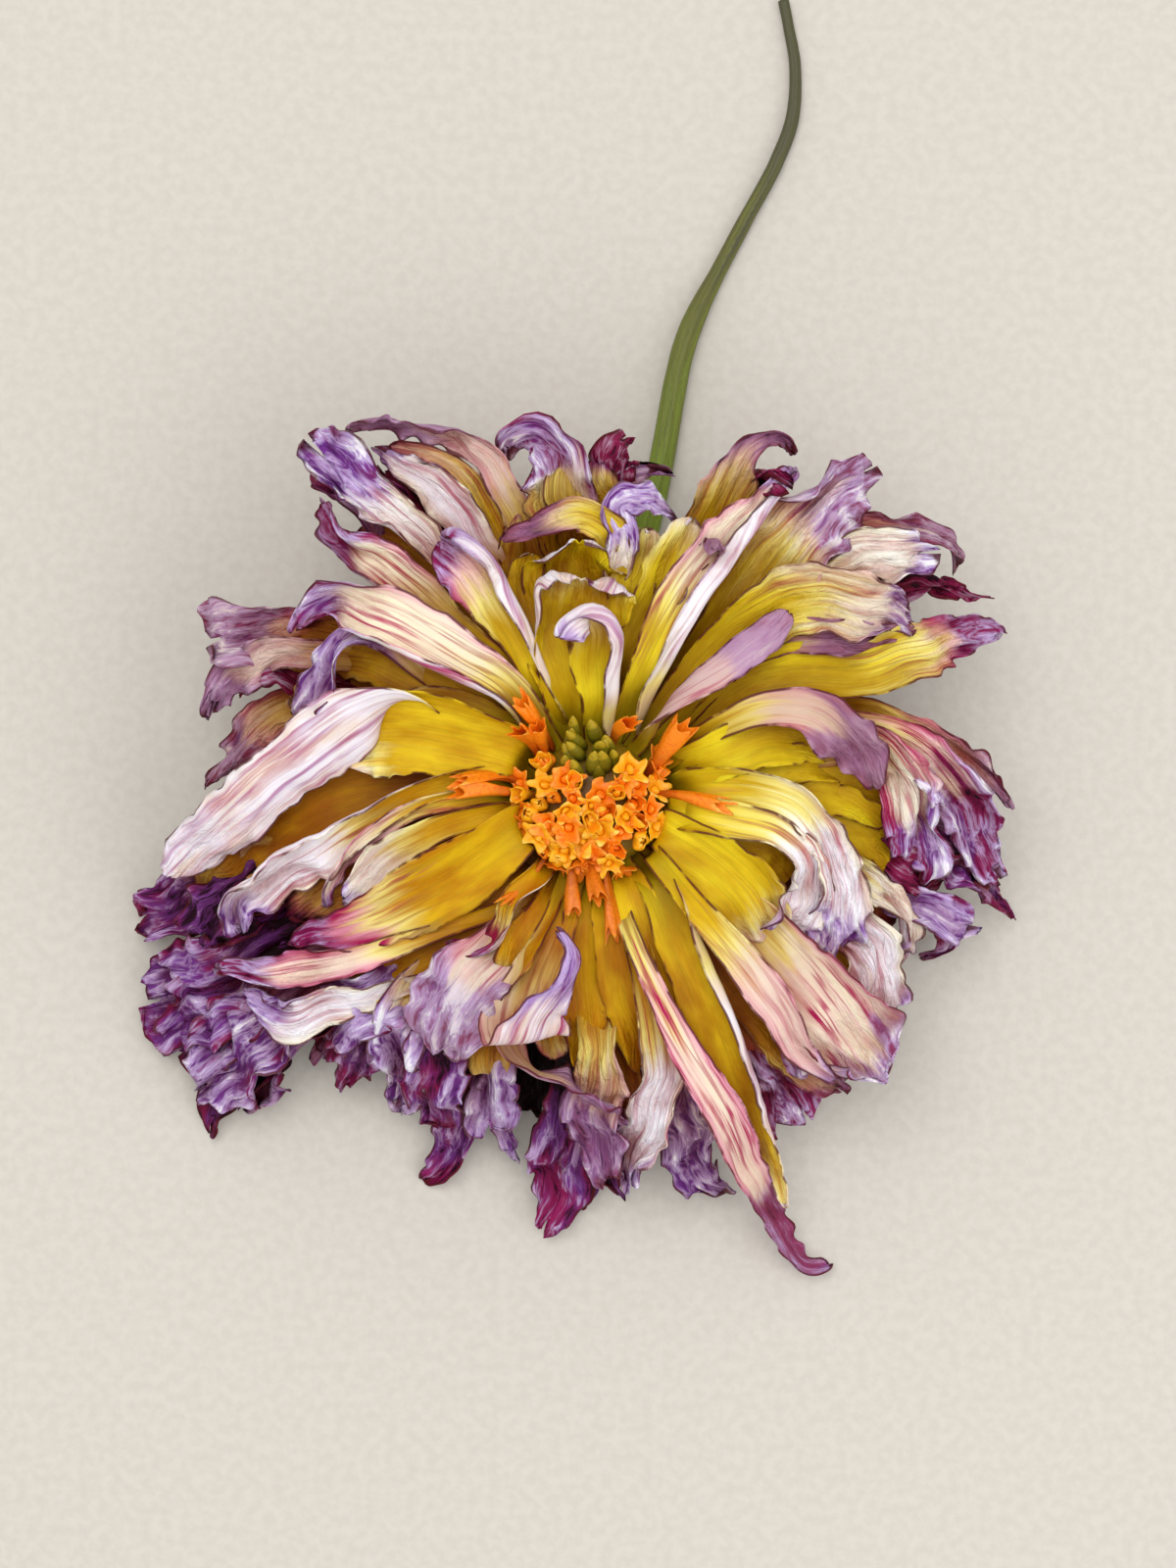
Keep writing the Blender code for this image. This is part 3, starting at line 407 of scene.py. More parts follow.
        (-98, -25, 11, 15, 10), (-105, -28.5, 4, 9, 20)), 20, 0.7, Fade.DARK_LILAC),
    Blade("w_purple_mid", 3, ((-60, -12, 33, 12), (-76, -20, 30, 13), (-86, -27, 25, 15),
        (-94, -31, 18, 9, 10)), 20, 0.85, Fade.DARK),
    Blade("sw_purple_wide", 4, ((-56, -26, 29, 16), (-74, -35, 25, 22), (-88, -42, 18, 26),
        (-97, -45, 9, 22), (-104, -46, 3, 12)), 15, 0.75, Fade.DARK_LILAC),
    Blade("sw_purple_low", 4, ((-58, -32, 27, 14), (-76, -42, 21, 18), (-88, -51, 13, 19),
        (-96, -58, 4, 11)), 15, 0.8, Fade.DARK_LILAC),
    Blade("sw_purple_pale", 3, ((-50, -32, 34, 12), (-66, -43, 31, 17), (-77, -53, 24, 21),
        (-85, -61, 13, 20), (-91, -67, 4, 9)), 15, 0.75, Fade.MAUVE),
    Blade("sw_purple_mid", 3, ((-48, -36, 31, 10), (-62, -47, 26, 13), (-72, -57, 17, 15), (-78, -65, 9, 13),
        (-81, -70, 3, 7)), 15, 0.85, Fade.DARK_LILAC),
    Blade("sw_purple_tail", 4, ((-64, -48, 20, 8), (-78, -63, 9, 8), (-84, -69, 5, 6, 20),
        (-86.5, -75, 2, 4, 40)), 20, 0.6, Fade.DARK),
    Blade("sw_grey_lilac", 3, ((-44, -37, 32, 10), (-56, -47, 27, 12), (-61, -56, 19, 11),
        (-64, -62, 12, 5)), 15, 0.7, Fade.MAUVE_TAN),
    Blade("sw_drop_small", 3, ((-42, -41, 35, 10), (-51, -51, 29, 11), (-54, -60, 19, 10), (-57, -68, 9, 3)),
        15, 0.75, Fade.DARK_LILAC),
    Blade("sw_band", 2, ((-34, -35, 40, 10), (-46, -42, 40, 13), (-55, -48, 35, 15), (-60, -54, 28, 9)), 15,
        0.6, Fade.MAUVE),
    Blade("sw_lilac_drop", 2, ((-34, -36, 42, 9), (-43, -47, 41, 11), (-45, -56, 34, 12), (-43, -64, 25, 10),
        (-42, -71, 15, 6)), 15, 0.7, Fade.LILAC),
    Blade("sw_pleated_hump", 1, ((-13, -24, 48, 9), (-22, -34, 51, 14), (-30, -43, 53, 18),
        (-34, -50, 48, 18), (-34, -57, 40, 13)), 15, 0.6, Fade.PLEATED),
    Blade("s_hanging_left", 3, ((-26, -38, 40, 10), (-34, -50, 40, 12), (-36, -60, 33, 14),
        (-36, -69, 22, 11), (-35, -75.5, 14, 6)), 20, 0.65, Fade.DARK_LILAC),
    Blade("s_hang_tail", 4, ((-26, -50, 26, 9), (-30, -66, 16, 9), (-32, -76, 8, 9, 10),
        (-36, -83, 3, 6, 20), (-39.5, -84, 1, 3, 20)), 20, 0.6, Fade.DARK_LILAC),
    Blade("s_hanging_mid", 3, ((-18, -40, 39, 10), (-22, -54, 37, 11), (-24, -64, 29, 13),
        (-24, -76, 16, 12)), 20, 0.6, Fade.LILAC),
    Blade("s_hanging_right", 4, ((-18, -42, 34, 6), (-22, -58, 30, 6), (-22, -70, 20, 7), (-17, -81, 8, 3)),
        20, 0.6, Fade.MAUVE),
    Blade("s_brown_turn", 2, ((-10, -30, 43, 10), (-18, -44, 44, 12), (-23, -54, 40, 11), (-22, -61, 33, 8)),
        20, 0.3, Fade.BROWN),
    # Painted shade: a near-black sheet laid deep in the hollow under the hanging petals, where there is only
    # shade.
    Blade("s_shade_sheet", 4, ((-7, -30, 30, 12), (-11, -48, 22, 18), (-12, -64, 12, 18), (-12, -74, 4, 10)), 10,
        0.6, Fade.SHADE),
    Blade("s_dark_tail", 4, ((-5, -42, 33, 8), (-5, -60, 25, 6), (-6, -76, 14, 13), (-8, -88, 6, 13, 10),
        (-10, -98.5, 1, 5, 20)), 20, 0.75, Fade.DARK_LILAC, curl=10),
    Blade("s_dark_branch", 4, ((-2, -50, 27, 7), (-2, -70, 17, 8), (-2.5, -84, 8, 8), (-3.5, -93, 2, 3)), 20,
        0.75, Fade.DARK_LILAC),
    Blade("s_crossing", 2, ((-12, -38, 45, 8), (-19, -51, 46, 9, -20), (-14, -59, 47, 8, -60),
        (-5, -63, 45, 10, -80), (4, -68, 40, 9, -80), (9, -71.5, 36, 3, -80)), 20, 0.4, Fade.MAUVE_TAN),
    Blade("s_fan_turned", 0, ((-8, -28, 50, 8), (-13, -40, 52, 13), (-16, -50, 54, 20), (-15, -53, 58, 21),
        (-12, -48, 63, 15), (-7, -41, 66, 7), (-5, -34, 68, 4), (-8.5, -27, 68, 2)), 15, 0.25, Fade.FAN),
    Blade("s_small_fold", 1, ((-11, -24, 49, 7), (-16, -32, 51, 9), (-18, -38, 51, 9, 20),
        (-22, -43, 48, 3, 40)), 35, 0.4, Fade.GOLD_PINK, (50, 20), 40),
    Blade("s_gold_left", 1, ((-8, -24, 47, 9), (-10, -38, 46, 11), (-10, -50, 43, 10), (-9, -58, 38, 5)), 30,
        0.25, Fade.GOLD_PINK),
    Blade("s_gold_mid", 1, ((-3, -24, 48, 8), (-3, -40, 46, 10), (-2, -52, 43, 9), (-2, -61, 38, 3)), 30,
        0.25, Fade.GOLD, (0, 20)),
    Blade("s_gold_right", 1, ((4, -25, 49, 9), (6, -40, 47, 10), (9, -52, 43, 9), (11, -61, 38, 4)), 30,
        0.25, Fade.GOLD, (20, 0)),
    Blade("s_gold_side", 0, ((9, -20, 50, 9), (13, -33, 49, 11), (15, -46, 46, 9), (17, -58, 41, 5)), 30,
        0.2, Fade.GOLD_PINK),
    Blade("s_orange_low", 2, ((3, -40, 40, 9), (5, -54, 38, 10), (7, -64, 33, 8), (8.5, -69, 29, 3)), 30,
        0.3, Fade.BROWN),
    Blade("s_white_knot", 2, ((11, -36, 49, 7), (14, -50, 48, 9), (15, -62, 43, 10, 10),
        (13, -72, 37, 11, 20), (9, -79, 30, 13, 30), (10, -85, 22, 8, 30)), 40, 0.7, Fade.WHITE, (20, 40),
        40),
    Blade("s_purple_knot", 3, ((1, -44, 44, 8), (1, -58, 43, 9), (1, -70, 37, 12), (2, -80, 27, 11),
        (2, -86, 20, 5)), 20, 0.9, Fade.MAUVE_TAN, curl=40),
    Blade("s_small_dark", 4, ((3, -56, 24, 8), (4, -72, 14, 8), (4, -84, 5, 6, 10), (7, -89, 2, 2, 20)), 20,
        0.7, Fade.DARK),
    Blade("se_long_tail", 1, ((8, -28, 52, 4), (14, -42, 54, 5), (21, -56, 52, 8), (29, -69, 45, 10, -5),
        (35, -82, 30, 9, -15), (40, -93, 15, 7, -30), (45, -101, 7, 6, -50), (49, -103.5, 4, 5, -60),
        (54, -102.5, 3, 3, -60)), 35, 0.12, Fade.TAIL, (0, 30)),
    Blade("s_magenta_curl", 3, ((15, -48, 37, 9), (18, -60, 36, 10), (20, -70, 30, 11), (22, -79, 20, 12),
        (28, -87, 8, 8, 10), (31, -90, 4, 3, 20)), 20, 0.85, Fade.MAUVE),
    Blade("se_long_gold", 1, ((15, -18, 51, 10), (21, -32, 50, 13), (27, -46, 47, 14, 5),
        (32, -58, 42, 12, 10), (37, -70, 35, 9, 15), (41, -81, 27, 5, 20), (43.5, -92, 20, 2, 20)), 35, 0.2,
        Fade.GOLD_CREAM, (110, 0)),
    Blade("e_gold_under", 3, ((20, -10, 40, 12), (36, -22, 38, 16), (50, -32, 35, 16), (60, -40, 29, 8)), 25,
        0.3, Fade.GOLD),
    Blade("se_brown_back", 2, ((16, -24, 44, 10), (28, -38, 42, 13), (36, -50, 38, 12), (41, -61, 31, 9)),
        25, 0.4, Fade.BROWN_WINE),
    Blade("se_magenta_ruffle", 3, ((24, -34, 40, 10), (33, -48, 37, 13), (41, -58, 33, 17),
        (47, -65, 26, 21), (50, -71, 19, 20)), 15, 0.8, Fade.CREAM_WINE),
    Blade("se_brown_fold", 2, ((26, -32, 41, 8), (36, -46, 39, 10), (44, -56, 35, 10), (51, -62, 30, 8),
        (58, -67, 24, 4)), 30, 0.6, Fade.RUST, (0, 40)),
    Blade("se_beige", 1, ((14, -12, 53, 5), (23, -23, 54, 6), (33, -35, 53, 9), (42, -47, 49, 10, 5),
        (48, -57, 43, 6, 10), (55, -63, 37, 2, 15)), 30, 0.2, Fade.BEIGE, (0, 20)),
    Blade("se_pink_scoop", 1, ((22, -12, 48, 8), (34, -24, 47, 11), (45, -36, 44, 16), (54, -46, 42, 22),
        (61, -55, 39, 24), (67, -61.5, 34, 15)), 40, 0.3, Fade.SCOOP, (30, 40), 75),
    Blade("e_gold_low", 0, ((16, -6, 52, 10), (26, -12, 53, 14), (35, -20, 51, 17), (41, -29, 46, 10)), 25,
        0.15, Fade.GOLD_CREAM),
    Blade("e_gold_inner", 0, ((18, -2, 52, 9), (30, -6, 52, 12), (40, -11, 49, 12), (45, -17, 45, 8)), 25,
        0.12, Fade.GOLD),
    Blade("e_white_drape", 2, ((40, -16, 40, 9), (52, -23, 40, 10), (60, -31, 38, 11),
        (63, -39, 37, 14, -10), (65, -47, 33, 12, -10), (66, -54, 28, 4, -10)), 20, 0.8, Fade.WHITE,
        (0, 50)),
    Blade("e_cream_curl", 2, ((54, -13, 43, 7), (66, -21, 39, 7), (70.5, -28, 32, 7), (66, -37, 26, 6)), 30,
        0.8, Fade.CREAM, (30, 30)),
    Blade("e_dark_gap", 3, ((45, -10, 40, 12), (56, -17, 38, 13), (63, -24, 33, 11), (64, -33, 27, 6)), 20,
        0.4, Fade.BROWN_WINE),
    Blade("e_narrow_low", 0, ((22, -2, 54, 9), (33, -4, 55, 9), (42, -6.5, 55, 7, -10),
        (47, -13, 52, 8, -15), (47.5, -21, 48, 11, -15), (45.5, -28, 45, 13, -15), (44, -34, 41, 7, -15)),
        30, 0.6, Fade.WHITE, (20, 30)),
    Blade("e_narrow_tip", 1, ((24, 4, 53, 9), (36, 3.5, 55, 9), (46, 0, 55, 9, -5), (52, -7.5, 52, 8, -10),
        (55.5, -17, 48, 10, -15), (55, -27, 44, 14, -15), (54, -36, 38, 9, -15)), 30, 0.7, Fade.WHITE,
        (20, 30)),
    Blade("e_gold_back", 2, ((40, -3, 46, 14), (54, -5, 45, 18), (63, -11, 39, 16), (69, -16, 33, 9)), 25,
        0.25, Fade.GOLD),
    Blade("e_gold_mid", 1, ((26, 10, 54, 11), (38, 14, 55, 13), (47, 14.5, 52, 10), (54, 12, 46, 5)), 25,
        0.15, Fade.GOLD),
    Blade("e_gold_right", 1, ((26, 5, 52, 9), (38, 8, 53, 10), (49, 9, 50, 8), (58, 6, 43, 3)), 25, 0.15,
        Fade.GOLD),
    Blade("e_gold_far", 1, ((30, 2, 49, 10), (45, 4, 50, 11), (57, 2, 46, 11), (67, -4, 39, 6)), 25, 0.2,
        Fade.GOLD),
    Blade("e_curl_low", 4, ((62, -16, 22, 7), (73, -23, 20, 6), (79, -28, 15, 5, 20), (79, -34, 9, 4, 40),
        (72.5, -36.5, 4, 2, 50)), 20, 0.5, Fade.MAUVE),
    Blade("e_purple_low", 3, ((56, -14, 34, 9), (66, -19, 34, 8), (74, -23, 30, 8), (82, -25.5, 24, 10),
        (88, -27, 18, 5, 10)), 20, 0.5, Fade.LILAC),
    Blade("e_magenta_mid", 3, ((58, -8, 38, 9), (69, -13, 37, 9), (77, -16, 32, 10), (84, -17, 25, 10),
        (90, -19, 18, 6)), 20, 0.95, Fade.CRIMSON_DARK),
    Blade("e_purple_point", 4, ((60, -4, 36, 10), (74, -8, 34, 12), (84, -12, 27, 13), (90, -20, 15, 7, 10),
        (95, -27.5, 6, 2, 30)), 20, 0.7, Fade.DARK_LILAC),
    Blade("e_cream_ridge", 2, ((54, 16, 49, 10), (66, 15.5, 51, 7), (75, 10.5, 49, 10), (82, 2, 44, 12),
        (86.5, -6, 36, 11), (89.5, -14, 27, 9), (91, -20, 19, 4)), 15, 0.7, Fade.CREAM_WINE),
    Blade("e_lilac_drape", 1, ((50, 12, 48, 8), (62, 13, 50.5, 9), (69, 7, 51.5, 11), (72, -1, 46, 14),
        (73, -10, 38, 15), (72, -19, 28, 5)), 20, 0.75, Fade.DRAPE),
    Blade("e_outer_brown", 3, ((52, 20, 46, 7), (62, 21, 48, 5), (71, 17.5, 47, 5), (79, 13.5, 43, 6, 20),
        (86, 7.5, 37, 9, 40), (91.5, 1, 31, 4, 50), (96.5, -4, 26, 2, 60)), 25, 0.6, Fade.RUST_LILAC),
    Blade("e_folded_lilac", 0, ((30, 18, 56, 6), (40, 21.5, 61, 8), (49, 21, 63, 11, 10),
        (56, 16.5, 61, 15, 20), (60.5, 10, 56, 11, 30), (62.5, 2, 50, 2, 40)), 20, 0.3, Fade.TAN_LILAC,
        (0, 30)),
    Blade("ne_long_gold", 1, ((34, 27, 54, 11), (46, 30, 56, 13), (58, 30, 55.5, 14), (70, 33, 51, 13),
        (80, 36.5, 44, 12, 5), (88, 37.5, 36, 8, 10), (94.5, 38, 29, 2, 20)), 30, 0.4, Fade.GOLD_MAGENTA,
        (0, 30)),
    Blade("ne_brown_fork", 3, ((56, 44, 46, 8), (67, 48, 49, 9), (75, 47.5, 47, 11, 10), (82, 46, 42, 7, 30),
        (91, 46, 35, 2, 50)), 20, 0.8, Fade.CRIMSON_DARK),
    Blade("ne_white_crumple", 1, ((32, 38, 56, 11), (42, 43.5, 59, 13), (52, 46, 60, 14, -5),
        (61, 45, 58, 14, -10), (68, 42.5, 54, 11, -5), (73, 40, 48, 4)), 15, 0.7, Fade.PEARL, (30, 40)),
    Blade("ne_pink_under", 1, ((34, 33, 54, 8), (45, 37.5, 57, 8), (56, 38, 59, 8), (65, 37.5, 56.5, 6),
        (74, 40.5, 51, 3)), 20, 0.4, Fade.TAN_LILAC, (0, 50)),
    Blade("ne_cream_back", 2, ((42, 45, 52, 9), (52, 52, 56, 9), (62, 56, 57, 9, -10), (70, 56, 56, 12, -10),
        (77, 56, 49, 9)), 15, 0.65, Fade.CREAM, curl=30),
    Blade("ne_brown_strap", 3, ((46, 52, 47, 9), (56, 60, 49, 8), (63, 63, 48, 5, -10),
        (70, 62.5, 47, 5, -20), (76, 60.5, 45, 9, -20), (80, 56, 40, 6, -20), (80, 50, 34, 2, -20)), 25, 0.6,
        Fade.RUST_LILAC),
)


class PetalForm:
    """The sheet of one petal, as a grid of points with what its finish needs to know.

    u runs along its rows and v across its columns. At each point of the grid, share is the way from the root
    as a share, along is the same in millimetres, and flat is the distance from the middle line.
    """

    RING_RADIUS = (14.5, 15.2, 15.6, 15.4, 14.6)
    RING_HEIGHT = (44.5, 42, 39, 36, 33.3)
    CLAW_DEPTH = 6
    CLAW_WIDTHS = (0.5, 0.7)
    STEP_ALONG = 1.26
    STEP_ACROSS = 0.66
    MIN_ROWS = 40
    CURL_SHARE = 0.22
    WANDER = 2.2
    DRY_SLACK = 0.28
    LOOSE_TURN = 34
    FOLD_TURN = 58
    PLEAT_WIDTH = 11
    FINE_FOLD = 3.6
    RUFFLE_LENGTH = 9
    NOTCH = 0.12
    LOWEST = 0.35
    # Painted shade: petals that turn purple early darken towards the root, where they run under the others.
    ROOT_SHADE = 0.8
    # Side where the gold is darker and more orange: partly its own orange, partly painted shade on the
    # hanging petals.
    WARM_AND_SHADED_SIDE = math.radians(235)
    BLUSH_WIDTH = 3.2

    def __init__(self, blade: Blade, order: int) -> None:
        """Lays out the petal.

        Args:
            blade: The petal's row in the chart.
            order: Its place in the chart, which seeds its creases.
        """
        self.blade = blade
        self.order = order
        self.phase = order * 2.4
        self.ripple = Ripple(order + 11)
        self.stations = np.array([(*station, 0)[:5] for station in blade.stations], dtype=float)
        self.azimuth = math.atan2(self.stations[0, 1], self.stations[0, 0])
        self.path = Path(self.knots())
        self.length = self.path.length
        self.rows = max(self.MIN_ROWS, round(self.length / self.STEP_ALONG))
        self.columns = 2 * max(6, round(self.stations[:, 3].max() / self.STEP_ACROSS / 2)) + 1
        t = np.linspace(0, 1, self.rows)
        self.u = 0.45 * t + 0.55 * (1 - (1 - t) ** 2)
        self.v = np.linspace(-1, 1, self.columns)
        shares = self.path.shares
        knot_shares = self.path.knot_shares
        roll = np.interp(shares, knot_shares, (0, 0, *self.stations[:, 4]))
        claw = (share * self.stations[0, 3] for share in self.CLAW_WIDTHS)
        widths = np.interp(shares, knot_shares, (*claw, *self.stations[:, 3]))
        self.widths = blurred(widths, 20)
        self.normal, self.side = Path.carried_frame(self.path.points, np.radians(blurred(roll, 12)))
        self.line = self.wandered(self.curled(self.path.points))
        self.half = self.half_width()
        self.flat = self.half[:, None] * self.v
        notch = 0.5 + 0.5 * self.ripple.at(np.zeros((1, 1)), self.v[None, :] * 3.2 + 12)
        late = eased((self.u[:, None] - 0.5) / 0.5)
        self.share = self.u[:, None] * (1 - self.NOTCH * self.blade.crumple * notch * late)
        self.along = self.share * self.length

    @staticmethod
    def seen(x: float, y: float, height: float) -> tuple[float, float, float]:
        """Moves a place read at the bloom's mean height to its own height, along the eye's line of sight.

        Args:
            x: To the right of the bloom's middle.
            y: Up from the bloom's middle.
            height: Over the surface.

        Returns:
            The point in space.
        """
        spread = 1 - (height - SEEN_HEIGHT) / EYE_DISTANCE
        return (EYE_X + (x - EYE_X) * spread, EYE_Y + (y - EYE_Y) * spread, height)

    def knots(self) -> Array:
        """The points that the petal's middle line runs through.

        Returns:
            Two points at the receptacle, the first inside it, and then the stations.
        """
        radius = self.RING_RADIUS[self.blade.ring]
        height = self.RING_HEIGHT[self.blade.ring]
        azimuth = math.degrees(self.azimuth)
        inside = around(azimuth, radius - self.CLAW_DEPTH, height - 1)
        claw = around(azimuth, radius + 1, height + 0.8)
        return np.array([inside, claw] + [self.seen(*station[:3]) for station in self.blade.stations])

    def curled(self, line: Array) -> Array:
        """Turns the petal's last stretch towards its upper face, or away from it.

        Args:
            line: Fine points along the petal's middle.

        Returns:
            The curled line; the frame that it carries turns with it.
        """
        if not self.blade.curl:
            return line
        start = 1 - self.CURL_SHARE
        shares = self.path.shares
        turn = math.radians(self.blade.curl) * eased((shares - start) / self.CURL_SHARE)
        c = np.cos(turn)[:, None]
        s = np.sin(turn)[:, None]
        steps = np.linalg.norm(np.diff(line, axis=0), axis=1)
        tangent = unit(np.gradient(line, axis=0))
        heading = tangent * c + self.normal * s
        self.normal = self.normal * c - tangent * s
        first = int(np.searchsorted(shares, start))
        curled = line.copy()
        curled[first + 1 :] = line[first] + np.cumsum(heading[first + 1 :] * steps[first:, None], axis=0)
        return curled

    def wandered(self, line: Array) -> Array:
        """Lets the dried end of the petal wander about its line.

        Args:
            line: Fine points along the petal's middle.

        Returns:
            The line with its wanderings.
        """
        u = self.path.shares
        along = u * self.length
        strength = eased((u - 0.45) / 0.3) * (0.15 + self.blade.crumple)
        up = self.WANDER * self.ripple.at(along / 8, 33.3)
        sideways = self.WANDER * self.ripple.at(along / 9, 44.4)
        return line + (strength * up)[:, None] * self.normal + (strength * sideways)[:, None] * self.side

    def half_width(self) -> Array:
        """Works out half the petal's width as a flat sheet, rounded at its end.

        Returns:
            The half width at each row.
        """
        u = self.u
        half = 0.5 * np.interp(u, self.path.shares, self.widths)
        cap = max(1.2, 0.8 * half[-1]) / self.length
        late = np.clip((u - 1 + cap) / cap, 0, 1)
        slack = 1 + self.DRY_SLACK * self.dryness()[:, 0]
        return half * slack * np.sqrt(1 - 0.97 * late**2)

    def dryness(self) -> Array:
        """How strongly the sheet is crumpled.

        Returns:
            A share for each row, from 0 to about 1.
        """
        start = 0.7 - 0.44 * self.blade.crumple
        dry = eased((self.u[:, None] - start) / 0.34)
        return dry * (0.42 + 0.62 * self.blade.crumple)

    def turning(self) -> Array:
        """How far the sheet is turned about its own length, across each row.

        Returns:
            The turn of each point in radians.
        """
        along = self.along
        flat = self.flat
        u = self.u[:, None]
        v = self.v[None, :]
        read = self.ripple.at
        turn = math.radians(self.blade.cup) * (1.2 - 0.4 * eased(u * 1.6)) * v
        grown = eased(u / 0.35) * (1 + 0.25 * np.sin(7 * u + self.phase))
        for sign, angle in zip((-1, 1), self.blade.rims):
            start = 0.5 - 0.3 * min(max((abs(angle) - 90) / 90, 0), 1)
            reach = eased((sign * v - start) / 0.42)
            loose = read(along / 13 + 7 * sign, 60)
            loose = self.LOOSE_TURN * loose * eased((u - 0.2) / 0.3)
            turn = turn + sign * np.radians(grown * angle + loose) * reach
        dry = self.dryness()
        drift = 0.8 * read(along / 30, flat / 9) + 0.3 * read(along / 12 + 8, flat / 5)
        pleats = max(1, self.stations[:, 3].max() / self.PLEAT_WIDTH)
        folds = np.sin(math.pi * pleats * v + 2 * math.pi * drift + self.phase)
        strength = 0.6 + 1.1 * read(along / 11 + 3, flat / 7 + 25)
        turn = turn + dry * np.radians(self.FOLD_TURN) * strength * folds
        fine = np.sin(2 * math.pi * (flat / self.FINE_FOLD + 1.8 * drift) + 2 * self.phase)
        fine = fine * (0.8 + read(along / 8 + 40, flat / 5))
        return turn + (0.08 + 0.46 * dry) * eased(u / 0.25) * fine

    def section(self) -> tuple[Array, Array]:
        """Curves the petal across its width.

        Returns:
            Each point's distance to the side and its lift over the middle line.
        """
        turn = self.turning()
        step = self.half[:, None] * (self.v[1] - self.v[0])
        mean = (turn[:, 1:] + turn[:, :-1]) / 2
        middle = self.columns // 2
        run = []
        for stride in (step * np.cos(mean), step * np.sin(mean)):
            total = np.pad(np.cumsum(stride, axis=1), [(0, 0), (1, 0)])
            run.append(total - total[:, middle, None])
        return run[0], run[1]

    def creases(self) -> tuple[Array, Array]:
        """Ruffles and crumples that lift the sheet or draw it lengthwise.

        Returns:
            Lift, and shift along the petal.
        """
        read = self.ripple.at
        along = self.along
        flat = self.flat
        dry = self.dryness()
        warp_a = along + 3 * read(along / 9, flat / 6)
        warp_b = flat + 2 * read(along / 11 + 20, flat / 5)
        fold = 1 - 2 * np.abs(read(warp_a / 24, warp_b / 8 + 9))
        crease = 1 - 2 * np.abs(read(warp_a / 12 + 31, warp_b / 2.4))
        facet = np.abs(read(warp_a / 17 + 60, warp_b / 12 + 4))
        side = np.sign(self.v[None, :])
        wave = along / self.RUFFLE_LENGTH + 0.2 * side + 0.45 * read(along / self.RUFFLE_LENGTH, side * 3)
        ruffle = np.sin(2 * math.pi * wave + self.phase)
        edge = np.abs(self.v[None, :]) ** 3 * np.clip(np.abs(flat[:, :1]) / 5, 0.2, 1)
        grown = eased((self.u[:, None] - 0.35) / 0.4)
        lift = dry * (1.4 * fold + 0.5 * crease + 1.1 * edge * ruffle - 4 * dry * facet)
        lift += grown * (0.6 * read(along / 14 + 5, flat / 8) + 0.5 * edge * ruffle)
        shift = 1.2 * read(along / 6, flat / 6 + 17) + 0.5 * read(along / 3, flat / 2.5 + 3)
        return lift, dry * shift

    def cavity(self, points: Array) -> Array:
        """How far each point stands out of its surroundings towards the upper face.

        Args:
            points: The sheet's points.

        Returns:
            A measure for each point, from -1 in the folds to 1 on the ridges.
        """
        total = np.zeros(points.shape[:2])
        normal = unit(np.cross(np.gradient(points, axis=0), np.gradient(points, axis=1)) + 1e-9)
        for reach in (1, 2, 3):
            nearby = np.zeros_like(points)
            for axis in (0, 1):
                margins = [(0, 0), (0, 0), (0, 0)]
                margins[axis] = (reach, reach)
                padded = np.pad(points, margins, mode="edge")
                count = points.shape[axis]
                before = np.take(padded, range(count), axis)
                nearby += before + np.take(padded, range(2 * reach, count + 2 * reach), axis)
            total += np.sum((points - nearby / 4) * normal, axis=-1) / reach
        upper = self.path.read(self.normal, self.u)[:, None]
        facing = np.sign(np.sum(normal * upper, axis=-1).mean())
        return np.clip(total * facing * 1.6, -1, 1)

    def sheet(self) -> tuple[Array, dict[str, Array]]:
        """Works out the sheet.

        Returns:
            The grid of points, and the finish's values at each point.
        """
        v = self.v[None, :]
        lift, shift = self.creases()
        across, depth = self.section()
        ragged = 0.05 + 0.16 * self.blade.crumple * eased((self.u[:, None] - 0.45) / 0.3)
        tear = self.ripple.at(self.along / 2.6, 40 + np.sign(v))
        across = across * (1 + ragged * tear * v**2)
        u_read = np.clip(self.share + shift / self.length, 0, 1)
        points = self.path.read(self.line, u_read)
        points = points + self.path.read(self.side, u_read) * across[..., None]
        points = points + self.path.read(self.normal, u_read) * (depth + lift)[..., None]
        points[..., 2] = np.maximum(points[..., 2], self.LOWEST)
        return points, self.values(points)

    def values(self, points: Array) -> dict[str, Array]:
        """Works out what the finish reads.

        Args:
            points: The sheet's points.

        Returns:
            Values by name; one is high on the lower left, where the hanging petals' gold turns darker and
            more orange, partly their own orange and partly painted shade.
        """
        v = np.abs(self.v[None, :])
        tint = self.blade.fade.value
        along = self.along
        flat = self.flat
        whole = np.ones(along.shape)
        share = along / self.length + 0.06 * self.ripple.at(along / 12, flat / 6 + 50) + 0.07 * v**2
        edge = np.minimum(self.half[:, None] * (1 - v), (self.length - along) * 0.8)
        # Painted shade: darker towards the root of the petals that turn purple early, where they lie under
        # the others.
        root = self.ROOT_SHADE * (tint.purple < 0.5) * (1 - eased((share - 0.5) / 0.25))
        return {
            "gold": 1 - eased((share - tint.gold + 0.24) / 0.48),
            "purple": eased((share - tint.purple + 0.12) / 0.24),
            "share": share,
            "depth": tint.depth + root,
            "pink": tint.pink + 0.85 * tint.streak * (1 - eased(edge / self.BLUSH_WIDTH)),
            "streak": tint.streak * eased((share - tint.gold + 0.3) / 0.3),
            "brown": tint.brown * whole,
            "tan": tint.tan * whole,
            "warm_and_shade": (0.5 + 0.5 * math.cos(self.azimuth - self.WARM_AND_SHADED_SIDE)) * whole,
            "ridge": self.cavity(points),
            "margin": edge,
            "dry": self.dryness() * whole,
            "grain": np.stack([along, flat, self.order * 13.7 * whole], axis=-1),
        }


